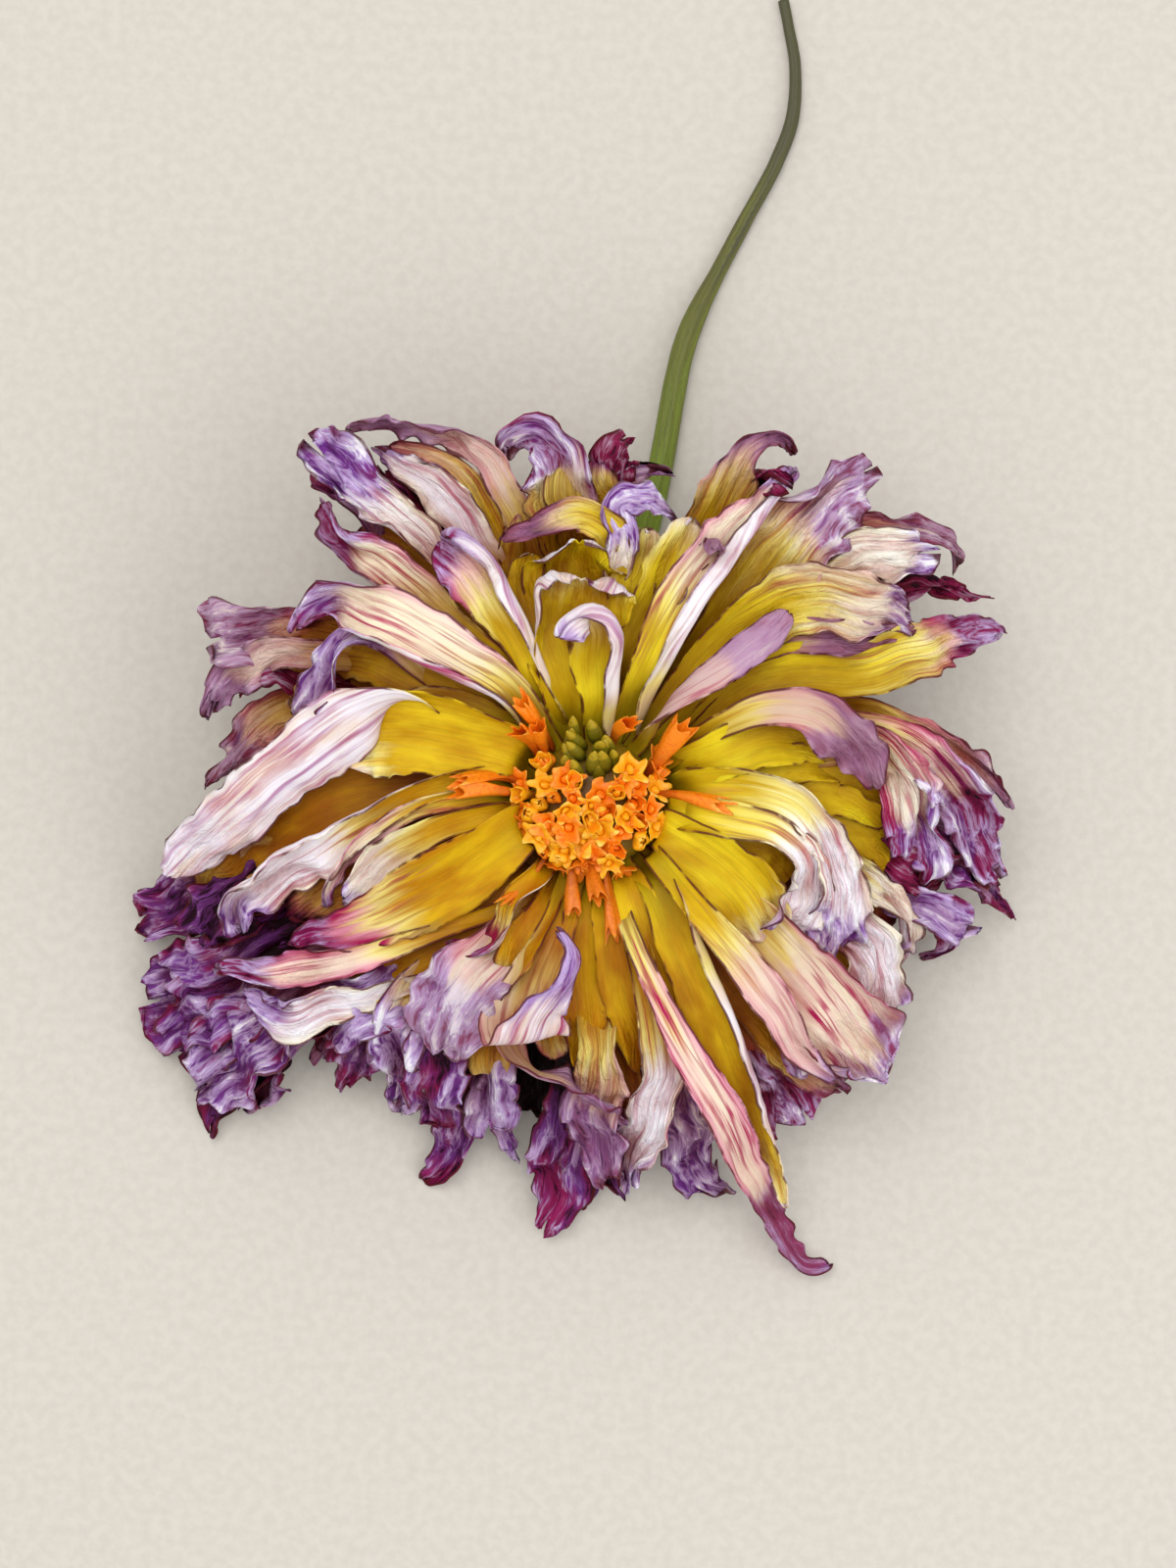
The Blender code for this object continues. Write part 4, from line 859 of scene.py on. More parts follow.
class Bench:
    """Operators on one object at a time, with nothing else selected."""

    @staticmethod
    def pick(obj: Object) -> None:
        """Makes one object the only one selected, and the active one."""
        if bpy.context.mode != "OBJECT":
            bpy.ops.object.mode_set(mode="OBJECT")
        bpy.ops.object.select_all(action="DESELECT")
        obj.select_set(True)
        bpy.context.view_layer.objects.active = obj

    @staticmethod
    def points(mesh: Mesh) -> Array:
        """A mesh's vertices, one in each row."""
        flat = np.empty(len(mesh.vertices) * 3)
        mesh.vertices.foreach_get("co", flat)
        return flat.reshape(-1, 3)

    @staticmethod
    def turned(name: str, rings: Profile, sides: int, capped: bool = True) -> Object:
        """Draws a round body up from a circle, ring by ring.

        Args:
            name: The body's name.
            rings: Height and radius of each ring.
            sides: Sides of each ring.
            capped: Whether its ends are closed.

        Returns:
            The body, about the Z axis.
        """
        bpy.ops.object.select_all(action="DESELECT")
        height, radius = rings[0]
        foot = (0, 0, height)
        fill = "NGON" if capped else "NOTHING"
        bpy.ops.mesh.primitive_circle_add(vertices=sides, radius=radius, fill_type=fill, location=foot)
        obj = bpy.context.active_object
        obj.name = name
        bpy.ops.object.mode_set(mode="EDIT")
        bpy.ops.mesh.select_all(action="SELECT")
        for (low, narrow), (high, wide) in zip(rings, rings[1:]):
            bpy.ops.mesh.extrude_region_move(TRANSFORM_OT_translate={"value": (0, 0, high - low)})
            grow = (wide / narrow, wide / narrow, 1)
            bpy.ops.transform.resize(value=grow, center_override=(0, 0, high))
        bpy.ops.mesh.select_all(action="SELECT")
        bpy.ops.mesh.normals_make_consistent(inside=False)
        bpy.ops.object.mode_set(mode="OBJECT")
        bpy.ops.object.transform_apply(location=True, rotation=False, scale=False)
        return obj

    @staticmethod
    def bent_grid(name: str, points: Array, values: dict[str, Array]) -> Object:
        """Adds a flat grid, gives it the shape of the points and notes values at them.

        Args:
            name: The grid's name.
            points: Rows and columns of points.
            values: A value or a vector for each point, by name.

        Returns:
            The shaped grid.
        """
        rows, columns = points.shape[:2]
        bpy.ops.object.select_all(action="DESELECT")
        bpy.ops.mesh.primitive_grid_add(x_subdivisions=rows - 1, y_subdivisions=columns - 1, size=2)
        obj = bpy.context.active_object
        obj.name = name
        flat = Bench.points(obj.data)
        row = np.rint((flat[:, 0] + 1) / 2 * (rows - 1)).astype(int)
        column = np.rint((1 - flat[:, 1]) / 2 * (columns - 1)).astype(int)
        obj.data.vertices.foreach_set("co", points[row, column].ravel())
        for label, value in values.items():
            Bench.note(obj.data, label, value[row, column])
        return obj

    @staticmethod
    def close_seam(obj: Object) -> None:
        """Merges the points that meet, as at a tube's seam, and turns the faces outwards."""
        Bench.pick(obj)
        bpy.ops.object.mode_set(mode="EDIT")
        bpy.ops.mesh.select_all(action="SELECT")
        bpy.ops.mesh.remove_doubles(threshold=0.001)
        bpy.ops.mesh.normals_make_consistent(inside=False)
        bpy.ops.object.mode_set(mode="OBJECT")

    @staticmethod
    def note(mesh: Mesh, name: str, values: Array) -> None:
        """Writes a value or a vector at each vertex."""
        vector = values.ndim == 2
        attribute = mesh.attributes.new(name, "FLOAT_VECTOR" if vector else "FLOAT", "POINT")
        attribute.data.foreach_set("vector" if vector else "value", values.astype(np.float32).ravel())

    @staticmethod
    def note_place(obj: Object, low: float, high: float) -> None:
        """Notes each vertex's place, and its height as a share between two heights.

        Args:
            obj: A mesh in millimetres.
            low: The height where the share is 0.
            high: The height where it is 1.
        """
        points = Bench.points(obj.data)
        Bench.note(obj.data, "grain", points)
        Bench.note(obj.data, "rise", (points[:, 2] - low) / (high - low))

    @staticmethod
    def copied(obj: Object, placement: Matrix) -> Object:
        """Copies an object, mesh and all, to another place."""
        copy = obj.copy()
        copy.data = obj.data.copy()
        copy.data.transform(placement)
        bpy.context.scene.collection.objects.link(copy)
        return copy

    @staticmethod
    def leaning(axis: Vector) -> Matrix:
        """The turn that brings what stands upright to an axis."""
        return UP.rotation_difference(axis).to_matrix().to_4x4()

    @staticmethod
    def walled(obj: Object, thickness: float, offset: float = 0, back_slot: int = 0) -> None:
        """Gives a sheet its thickness.

        Args:
            obj: The sheet.
            thickness: Its thickness.
            offset: Whether the wall grows back from the sheet, -1, or both ways, 0.
            back_slot: The material slot of its back.
        """
        Bench.pick(obj)
        wall = obj.modifiers.new("wall", "SOLIDIFY")
        wall.thickness = thickness
        wall.offset = offset
        wall.material_offset = back_slot
        bpy.ops.object.modifier_apply(modifier=wall.name)

    @staticmethod
    def rounded(obj: Object) -> None:
        """Rounds a coarse form by one subdivision."""
        Bench.pick(obj)
        smooth = obj.modifiers.new("smooth", "SUBSURF")
        smooth.levels = 1
        smooth.render_levels = 1
        bpy.ops.object.modifier_apply(modifier=smooth.name)

    @staticmethod
    def joined(name: str, objects: Sequence[Object]) -> Object:
        """Joins objects in one piece of the name."""
        Bench.pick(objects[0])
        for obj in objects:
            obj.select_set(True)
        bpy.ops.object.join()
        piece = bpy.context.view_layer.objects.active
        piece.name = name
        piece.data.name = name
        return piece

    @staticmethod
    def finished(obj: Object, *materials: Material) -> Object:
        """Dresses a piece, shades it smooth and brings it from the bloom's millimetres to the frame's metres.

        Args:
            obj: The piece.
            materials: Its materials, where its parts brought none.

        Returns:
            The piece.
        """
        for material in materials:
            obj.data.materials.append(material)
        Bench.pick(obj)
        bpy.ops.object.shade_smooth()
        obj.data.transform(Matrix.Translation((BLOOM_X * MM, BLOOM_Y * MM, 0)) @ Matrix.Scale(MM, 4))
        return obj


class NodeSheet:
    """A material's nodes, laid with short calls."""

    def __init__(self, name: str) -> None:
        """Starts a material that holds a Principled shader alone."""
        self.material = bpy.data.materials.new(name)
        self.material.use_nodes = True
        self.tree = self.material.node_tree
        self.shader = self.tree.nodes["Principled BSDF"]

    def put(self, socket: Socket, value: Feed) -> None:
        """Links a socket to an input, or sets the input's value."""
        if isinstance(value, Socket):
            self.tree.links.new(value, socket)
        elif isinstance(value, tuple) and len(value) == 3 and socket.type == "RGBA":
            socket.default_value = (*value, 1)
        else:
            socket.default_value = value

    def attribute(self, name: str, kind: str = "Fac") -> Socket:
        """Reads an attribute of the mesh."""
        node = self.tree.nodes.new("ShaderNodeAttribute")
        node.attribute_name = name
        return node.outputs[kind]

    def math(self, operation: str, first: Feed, second: Feed = 0, clamp: bool = False) -> Socket:
        """Adds a Math node.

        Args:
            operation: The node's operation.
            first: Its first value.
            second: Its second value.
            clamp: Whether the result is held between 0 and 1.

        Returns:
            The result's socket.
        """
        node = self.tree.nodes.new("ShaderNodeMath")
        node.operation = operation
        node.use_clamp = clamp
        self.put(node.inputs[0], first)
        self.put(node.inputs[1], second)
        return node.outputs[0]

    def plus(self, first: Feed, second: Feed, clamp: bool = False) -> Socket:
        """Adds one value to another."""
        return self.math("ADD", first, second, clamp)

    def minus(self, first: Feed, second: Feed) -> Socket:
        """Takes one value from another."""
        return self.math("SUBTRACT", first, second)

    def times(self, first: Feed, second: Feed, clamp: bool = False) -> Socket:
        """Multiplies one value by another."""
        return self.math("MULTIPLY", first, second, clamp)

    def step(self, value: Feed, low: float, high: float) -> Socket:
        """Eases a value from 0 at low to 1 at high."""
        node = self.tree.nodes.new("ShaderNodeMapRange")
        node.interpolation_type = "SMOOTHSTEP"
        self.put(node.inputs["Value"], value)
        node.inputs["From Min"].default_value = low
        node.inputs["From Max"].default_value = high
        return node.outputs["Result"]

    def mix(self, share: Feed, first: Feed, second: Feed, blend: str = "MIX") -> Socket:
        """Mixes two colours.

        Args:
            share: How much of the second.
            first: The first colour.
            second: The second colour.
            blend: The way of mixing.

        Returns:
            The mixed colour's socket.
        """
        node = self.tree.nodes.new("ShaderNodeMix")
        node.data_type = "RGBA"
        node.blend_type = blend
        self.put(node.inputs[0], share)
        self.put(node.inputs[6], first)
        self.put(node.inputs[7], second)
        return node.outputs[2]

    def scaled(self, vector: Socket, factors: tuple[float, float, float]) -> Socket:
        """Scales a vector along each of its axes."""
        node = self.tree.nodes.new("ShaderNodeVectorMath")
        node.operation = "MULTIPLY"
        self.put(node.inputs[0], vector)
        node.inputs[1].default_value = factors
        return node.outputs[0]

    def noise(self, vector: Socket, scale: float, detail: float = 3, warp: float = 0) -> Socket:
        """Reads noise.

        Args:
            vector: Where it is read.
            scale: How fine it is.
            detail: How many finer layers it has.
            warp: How far it is drawn out of true.

        Returns:
            The noise's socket, about 0.5.
        """
        node = self.tree.nodes.new("ShaderNodeTexNoise")
        self.put(node.inputs["Vector"], vector)
        node.inputs["Scale"].default_value = scale
        node.inputs["Detail"].default_value = detail
        node.inputs["Distortion"].default_value = warp
        return node.outputs["Fac"]

    def bump(self, height: Feed, distance: float, strength: float) -> None:
        """Gives the shader fine relief."""
        node = self.tree.nodes.new("ShaderNodeBump")
        node.inputs["Strength"].default_value = strength
        node.inputs["Distance"].default_value = distance
        self.put(node.inputs["Height"], height)
        self.put(self.shader.inputs["Normal"], node.outputs["Normal"])

    def tissue(self, glow: tuple[float, float, float], gloss: float) -> None:
        """Lets light into the surface, as into living tissue.

        Args:
            glow: How far red, green and blue light go, in millimetres.
            gloss: The shader's specular level.
        """
        self.shader.inputs["Subsurface Weight"].default_value = 0.2
        self.shader.inputs["Subsurface Radius"].default_value = glow
        self.shader.inputs["Subsurface Scale"].default_value = MM
        self.shader.inputs["Specular IOR Level"].default_value = gloss

    def finish(self, color: Feed, roughness: Feed) -> Material:
        """Sets the shader's colour and roughness and hands the material over."""
        self.put(self.shader.inputs["Base Color"], color)
        self.put(self.shader.inputs["Roughness"], roughness)
        return self.material


@dataclass(frozen=True)
class Pattern:
    """Noise drawn out along a petal: how fine it is along it and across, its finer layers and its warp."""

    along: float
    across: float
    detail: float
    warp: float = 0


class PetalFinish(NodeSheet):
    """Petal tissue, on its upper face or its back."""

    STREAKS = Pattern(0.035, 0.6, 5, 0.4)
    VEINS = Pattern(0.06, 2.4, 2)
    CLOUD = Pattern(0.06, 0.16, 3)
    CRINKLE = Pattern(0.16, 0.5, 3, 1)
    THREADS = Pattern(0.024, 0.5, 1.5, 0.3)
    BREAKS = Pattern(0.16, 0.1, 3)
    GOLD_SWING = 0.9
    PURPLE_SWING = 1
    OLIVE_AND_SHADE_NEAR_DISC = 0.7
    OLIVE_VEINS = 0.22
    BACK_BEIGE = 0.5
    STRIPES = 0.75
    BLEACH = -1.4
    BLUSH_SWING = 1.8
    TANNED = 0.6
    BACK_TANNED = 0.8
    BROWNED_AND_SHADED = 0.8
    THREAD_FAINT = 0.12
    THREAD_STREAKED = 0.55
    # Painted highlight on the ridges of the crumpled end, painted shade in its folds.
    RIDGE_PAINTED_HIGHLIGHT = 0.26
    MOTTLE_FAINT = 0.3
    MOTTLE_STREAKED = 0.5
    # Painted highlight along the fine raised crinkles, painted shade between them.
    CRINKLE_LINE = 0.05
    CRINKLE_PAINTED_SHADE = 2.6
    PINK_REDDENS = 0.2
    STREAKS_REDDEN = 0.17
    DUSTED = 0.62
    SHADE_GAIN = 1.15
    RIDGE_SHADE = -0.12
    RIM_SWING = 0.7
    RIM_STRENGTH = 0.9
    STREAK_RELIEF = 0.9
    LEAST_RELIEF = 0.4
    CRINKLE_RELIEF = -9
    ROUGHNESS = 0.42
    ROUGHNESS_SWING = 0.2
    DEEP_GOLD = linear(198, 164, 4)
    WARM_GOLD_AND_SHADE = linear(182, 108, 0)
    BRIGHT_GOLD = linear(240, 220, 36)
    WARM_BRIGHT_AND_SHADE = linear(222, 176, 12)
    PALE_GOLD = linear(240, 226, 132)
    OLIVE = linear(134, 122, 6)
    BROWN = linear(220, 190, 130)
    # Tones of the painted shade where other petals hide the sky: wine on pale tissue, brown on gold.
    SHADE_TONE = linear(168, 84, 82)
    GOLD_SHADE_TONE = linear(186, 138, 40)
    CREAM = linear(248, 238, 208)
    PINK = linear(240, 164, 186)
    MAGENTA = linear(172, 18, 84)
    WHITE = linear(248, 243, 250)
    LILAC = linear(196, 170, 218)
    PURPLE = linear(120, 56, 148)
    WINE = linear(142, 24, 88)
    DARK = linear(44, 6, 34)
    MARGIN = linear(84, 20, 24)
    BEIGE = linear(236, 214, 200)
    TAN = linear(206, 170, 170)
    STRIPE = linear(166, 92, 160)
    DUSK = linear(178, 132, 158)

    def __init__(self, name: str, back: bool = False) -> None:
        """Lays the patterns that run along every petal.

        Args:
            name: The material's name.
            back: Whether it is seen from the back, where ridges are folds.
        """
        super().__init__(name)
        self.back = back
        self.grain = self.attribute("grain", "Vector")
        self.streaks = self.drawn(self.STREAKS)
        self.veins = self.drawn(self.VEINS)
        self.cloud = self.drawn(self.CLOUD)
        self.crinkle = self.threads(self.CRINKLE)
        self.swing = self.centred(self.streaks)
        self.lines = self.plus(self.streaks, self.times(self.centred(self.veins), 0.5))
        self.patchy = self.step(self.cloud, low=0.34, high=0.62)
        ridge = self.attribute("ridge")
        self.ridge = self.times(ridge, -1) if back else ridge

    def drawn(self, pattern: Pattern) -> Socket:
        """Reads a pattern's noise."""
        place = self.scaled(self.grain, (pattern.along, pattern.across, 1))
        return self.noise(place, 1, pattern.detail, pattern.warp)

    def centred(self, noise: Feed) -> Socket:
        """Noise about 0 instead of 0.5."""
        return self.minus(noise, 0.5)

    def threads(self, pattern: Pattern) -> Socket:
        """How far a pattern's noise is from its middle, which is nothing along thin crooked lines."""
        return self.math("ABSOLUTE", self.centred(self.drawn(pattern)))

    def build(self) -> Material:
        """Lays the material's nodes.

        Returns:
            The material.
        """
        keep = self.plus(self.attribute("gold"), self.times(self.swing, self.GOLD_SWING))
        if self.back:
            keep = self.minus(keep, self.step(self.attribute("share"), low=0.15, high=0.55))
        color = self.mix(self.step(keep, low=0.05, high=0.5), self.body(), self.PALE_GOLD)
        color = self.mix(self.step(keep, low=0.3, high=0.85), color, self.gold())
        stain = self.times(self.attribute("streak"), self.step(self.lines, low=0.52, high=0.72))
        color = self.mix(self.times(stain, self.patchy), color, self.MAGENTA)
        color = self.veined(color)
        turned = self.plus(self.attribute("purple"), self.times(self.swing, self.PURPLE_SWING))
        color = self.mix(self.step(turned, low=0.25, high=0.8), color, self.purples())
        # Browning: partly the dried petal's own brown and partly painted shade on petals that lie low under
        # others.
        browned_and_shaded = self.mix(1, color, self.BROWN, "MULTIPLY")
        color = self.mix(self.times(self.attribute("brown"), self.BROWNED_AND_SHADED), color, browned_and_shaded)
        color = self.shaded_and_edged(color)
        self.bump(self.relief(), distance=0.0004, strength=0.8)
        self.tissue(glow=(1, 0.7, 0.4), gloss=0.12)
        roughness = self.plus(self.times(self.cloud, self.ROUGHNESS_SWING), self.ROUGHNESS)
        return self.finish(color, roughness)

    def gold(self) -> Socket:
        """Gold with olive veins; olive all over near the disc, partly its own olive and partly painted shade;
        darker and more orange on the lower left, partly its own orange and partly painted shade.

        Returns:
            The colour's socket.
        """
        # Darker, more orange gold on the lower left: partly the gold's own orange, partly painted shade on
        # the hanging side.
        warm_and_shade = self.attribute("warm_and_shade")
        deep = self.mix(warm_and_shade, self.DEEP_GOLD, self.WARM_GOLD_AND_SHADE)
        bright = self.mix(warm_and_shade, self.BRIGHT_GOLD, self.WARM_BRIGHT_AND_SHADE)
        gold = self.mix(self.step(self.cloud, low=0.3, high=0.74), deep, bright)
        # Olive near the disc: partly the gold's own olive, partly painted shade.
        near = self.times(self.step(self.attribute("share"), low=0.36, high=0.12), self.OLIVE_AND_SHADE_NEAR_DISC)
        vein = self.times(self.step(self.veins, low=0.5, high=0.7), self.OLIVE_VEINS)
        gold = self.mix(self.math("MAXIMUM", near, vein), gold, self.OLIVE)
        return self.mix(self.BACK_BEIGE, gold, self.BEIGE) if self.back else gold

    def body(self) -> Socket:
        """Cream and pink on the upper face, white striped with mauve on the back.

        Returns:
            The colour's socket.
        """
        tanned = self.BACK_TANNED if self.back else self.TANNED
        if self.back:
            body = self.mix(self.step(self.cloud, low=0.4, high=0.7), self.WHITE, self.BEIGE)
            stripes = self.times(self.step(self.streaks, low=0.46, high=0.7), self.STRIPES)
            body = self.mix(stripes, body, self.STRIPE)
        else:
            pink = self.attribute("pink")
            blush = self.plus(pink, self.times(self.swing, self.BLUSH_SWING), True)
            bleached = self.mix(self.times(pink, self.BLEACH, True), self.CREAM, self.WHITE)
            body = self.mix(blush, bleached, self.PINK)
            crimson = self.step(self.plus(pink, self.swing), low=0.8, high=1.6)
            body = self.mix(crimson, body, self.MAGENTA)
        return self.mix(self.times(self.attribute("tan"), tanned), body, self.TAN)

    def veined(self, color: Socket) -> Socket:
        """Draws thin crisp veins, wine on pale tissue and olive on gold.

        Args:
            color: The colour so far.

        Returns:
            The veined colour's socket.
        """
        thread = self.step(self.threads(self.THREADS), low=0.06, high=0.015)
        tone = self.mix(self.attribute("gold"), self.MAGENTA, self.OLIVE)
        strength = self.times(self.patchy, self.THREAD_STREAKED)
        strength = self.plus(self.times(self.attribute("streak"), strength), self.THREAD_FAINT)
        return self.mix(self.times(thread, strength), color, tone)

    def lowness(self) -> Socket:
        """How deep in the folds of the crumpled end a place lies: the tissue's own depth of colour and
        mottle, with painted highlight on the ridges and raised crinkles and painted shade in the folds and
        between the crinkles.

        Returns:
            The measure's socket, about 0 on the ridges and 1 in the folds.
        """
        low = self.minus(self.attribute("depth"), self.times(self.ridge, self.RIDGE_PAINTED_HIGHLIGHT))
        mottle = self.minus(self.plus(self.lines, self.cloud), 1)
        vary = self.plus(self.times(self.attribute("streak"), self.MOTTLE_STREAKED), self.MOTTLE_FAINT)
        low = self.plus(low, self.times(mottle, vary))
        swing = self.times(self.minus(self.crinkle, self.CRINKLE_LINE), self.CRINKLE_PAINTED_SHADE)
        return self.plus(low, self.times(swing, self.attribute("dry")))

    def purples(self) -> Socket:
        """Lilac and white on the ridges of the crumpled end as painted highlight, dark purple and near black
        in its folds as painted shade, over the tissue's own purple and wine.

        Returns:
            The colour's socket.
        """
        low = self.lowness()
        reddened = self.plus(self.cloud, self.times(self.attribute("pink"), self.PINK_REDDENS))
        streaked = self.times(self.step(self.attribute("streak"), low=0.72, high=0.95), self.STREAKS_REDDEN)
        deep = self.mix(self.step(self.plus(reddened, streaked), low=0.58, high=0.8), self.PURPLE, self.WINE)
        purple = self.mix(self.step(low, low=-0.15, high=0.15), self.WHITE, self.LILAC)
        purple = self.mix(self.step(low, low=0.1, high=0.58), purple, deep)
        purple = self.mix(self.times(self.attribute("tan"), self.DUSTED), purple, self.DUSK)
        return self.mix(self.step(low, low=0.6, high=1.05), purple, self.DARK)

    def shaded_and_edged(self, color: Socket) -> Socket:
        """Paints shade into the colour where other petals hide the sky and in the petal's own folds, then
        draws the dried dark margin.

        Args:
            color: The colour so far.

        Returns:
            The edged colour's socket.
        """
        # Painted shade: darker where other petals hide the sky and in the petal's own folds, less on its
        # ridges.
        shade = self.plus(self.attribute("shade"), self.times(self.attribute("ridge"), self.RIDGE_SHADE))
        tone = self.mix(self.attribute("gold"), self.SHADE_TONE, self.GOLD_SHADE_TONE)
        color = self.mix(self.times(shade, self.SHADE_GAIN, True), color, tone, "MULTIPLY")
        rim = self.plus(self.attribute("margin"), self.times(self.cloud, self.RIM_SWING))
        unbroken = self.step(self.drawn(self.BREAKS), low=0.38, high=0.56)
        line = self.times(self.step(rim, low=0.95, high=0.6), unbroken)
        return self.mix(self.times(line, self.RIM_STRENGTH), color, self.MARGIN)

    def relief(self) -> Socket:
        """Raises the veins and streaks, and wrinkles what has dried.

        Returns:
            The relief's socket.
        """
        dry = self.attribute("dry")
        raised = self.plus(self.veins, self.times(self.streaks, self.STREAK_RELIEF))
        raised = self.times(raised, self.plus(dry, self.LEAST_RELIEF, True))
        return self.plus(raised, self.times(dry, self.times(self.crinkle, self.CRINKLE_RELIEF)))


class Canopy:
    """The topmost petal's height over every cell of the bloom, which tells what lies in the shade."""

    CELL = 1.2
    REACH = 130
    RANGES = (2.5, 5, 9)
    DIRECTIONS = 12
    CLEARANCE = 0.8

    def __init__(self, sheets: Sequence[Array]) -> None:
        """Lays the petals' points down in the cells.

        Args:
            sheets: The petals' points in millimetres.
        """
        self.last = int(2 * self.REACH / self.CELL)
        self.top = np.zeros((self.last + 1, self.last + 1))
        for points in sheets:
            np.maximum.at(self.top, self.cells(points[..., 0], points[..., 1]), points[..., 2])

    def cells(self, x: Array, y: Array) -> tuple[Array, Array]:
        """The cells that places lie in."""
        column, row = (np.clip((c + self.REACH) / self.CELL, 0, self.last).astype(int) for c in (x, y))
        return column, row

    def shade(self, points: Array) -> Array:
        """How much of the sky the petals around each point hide, from 0 to 1.

        Args:
            points: Points in millimetres.

        Returns:
            The hidden share at each point.
        """
        hidden = np.zeros(points.shape[:2])
        for turn in np.arange(self.DIRECTIONS) * 2 * math.pi / self.DIRECTIONS:
            horizon = np.zeros(points.shape[:2])
            for reach in self.RANGES:
                x = points[..., 0] + reach * math.cos(turn)
                y = points[..., 1] + reach * math.sin(turn)
                rise = self.top[self.cells(x, y)] - points[..., 2] - self.CLEARANCE
                horizon = np.maximum(horizon, rise / np.hypot(rise, reach))
            hidden += np.clip(horizon, 0, 1) ** 2 / self.DIRECTIONS
        return hidden


@dataclass
class PetalCrown:
    """All ray petals, one piece for each ring."""

    rings: int = 5
    thickness: float = 0.32

    def petal(self, name: str, points: Array, values: dict[str, Array], faces: Sequence[Material]) -> Object:
        """Models one petal.

        Args:
            name: Its name.
            points: Its grid of points.
            values: What its finish reads, by name.
            faces: Materials of its upper face and its back.

        Returns:
            The petal, in millimetres.
        """
        obj = Bench.bent_grid(name, points, values)
        for material in faces:
            obj.data.materials.append(material)
        Bench.walled(obj, self.thickness, offset=-1, back_slot=1)
        return obj

    def build(self) -> list[Object]:
        """Models every petal and joins each ring's in one piece.

        Returns:
            The pieces, the innermost ring's first.
        """
        finishes = (PetalFinish("petal_face").build(), PetalFinish("petal_back", back=True).build())
        sheets = [PetalForm(blade, order).sheet() for order, blade in enumerate(CHART)]
        canopy = Canopy([points for points, _ in sheets])
        pieces = []
        for ring in range(self.rings):
            petals = []
            for blade, (points, values) in zip(CHART, sheets):
                if blade.ring == ring:
                    values["shade"] = canopy.shade(points)
                    petals.append(self.petal(blade.name, points, values, finishes))
            pieces.append(Bench.finished(Bench.joined(f"ray_petals_ring_{ring + 1}", petals)))
        return pieces


@dataclass(frozen=True)
class PlantFinish:
    """Plain tissue that runs between three colours with its height and its grain."""

    TIP_RUN = 0.2

    name: str
    low: Color
    high: Color
    tip: Color
    vein: Color
    tip_start: float = 0.8
    grain_scale: tuple[float, float, float] = (1, 1, 1)
    roughness: float = 0.5

    def build(self) -> Material:
        """Lays the material's nodes.

        Returns:
            The material.
        """
        sheet = NodeSheet(self.name)
        grain = sheet.scaled(sheet.attribute("grain", "Vector"), self.grain_scale)
        cloud = sheet.noise(grain, scale=0.35)
        fine = sheet.noise(grain, scale=1.6)
        swing = sheet.times(sheet.minus(cloud, 0.5), 0.5)
        rise = sheet.plus(sheet.attribute("rise"), swing)
        color = sheet.mix(sheet.step(rise, low=0.1, high=0.7), self.low, self.high)
        tip = sheet.step(rise, low=self.tip_start, high=self.tip_start + self.TIP_RUN)
        color = sheet.mix(tip, color, self.tip)
        veins = sheet.times(sheet.step(fine, low=0.48, high=0.68), 0.5)
        color = sheet.mix(veins, color, self.vein)
        sheet.bump(fine, distance=0.0002, strength=0.6)
        sheet.tissue(glow=(1, 0.6, 0.3), gloss=0.4)
        return sheet.finish(color, self.roughness)


@dataclass
class Receptacle:
    """The fleshy core that the petals and florets sit on."""

    profile: Profile = (
        (30.8, 9), (31, 12), (33.5, 14.2), (39, 15), (44, 14.8), (46.6, 14), (48.2, 12.4),
        (50.2, 8.6), (51.6, 4.2), (52.1, 0.6),
    )
    sides: int = 48
    rise: tuple[float, float] = (30, 52)

    def build(self) -> Object:
        """Turns the core.

        Returns:
            The core.
        """
        obj = Bench.turned("receptacle", self.profile, self.sides)
        Bench.note_place(obj, *self.rise)
        colors = (linear(150, 146, 50), linear(150, 120, 14), linear(120, 78, 10), linear(110, 96, 16))
        return Bench.finished(obj, PlantFinish("receptacle_flesh", *colors).build())


class FloretKind(Enum):
    """How far a disc floret has opened: its rings of height and radius, its lobes' reach, and their rise."""

    OPEN = (((0, 0.6), (2.5, 0.7), (4.4, 0.95), (5.4, 1.35), (5.9, 1.75)), (2, 1.6, 1.05), 0.9)
    HALF = (((0, 0.6), (2.6, 0.75), (4.6, 1.25), (6, 1.75), (7, 1.6)), (1.1, 1.25, 0.95), 1.4)
    BALL = (((0, 0.6), (2.4, 0.8), (4, 1.4), (5.4, 1.75), (6.6, 1.5)), (0.25, 0.35, 0.5), 0.7)
    TUBE = (((0, 0.6), (4, 0.65), (8, 0.8), (11, 1.25), (13.6, 1.5), (15.2, 1.2)), (1.7, 1.4, 0.8), 2.4)


class FloretTone(Enum):
    """Colours of the florets: their foot, darker as painted shade down among the crowded florets, their body,
    lobes and flecks.
    """

    FLORET_ORANGE = (linear(160, 60, 0), linear(250, 138, 14), linear(255, 196, 84), linear(224, 84, 8))
    FLORET_AMBER = (linear(172, 92, 0), linear(250, 178, 22), linear(255, 224, 116), linear(234, 126, 8))
    FLORET_RUST = (linear(140, 62, 0), linear(228, 122, 12), linear(250, 176, 50), linear(186, 74, 4))


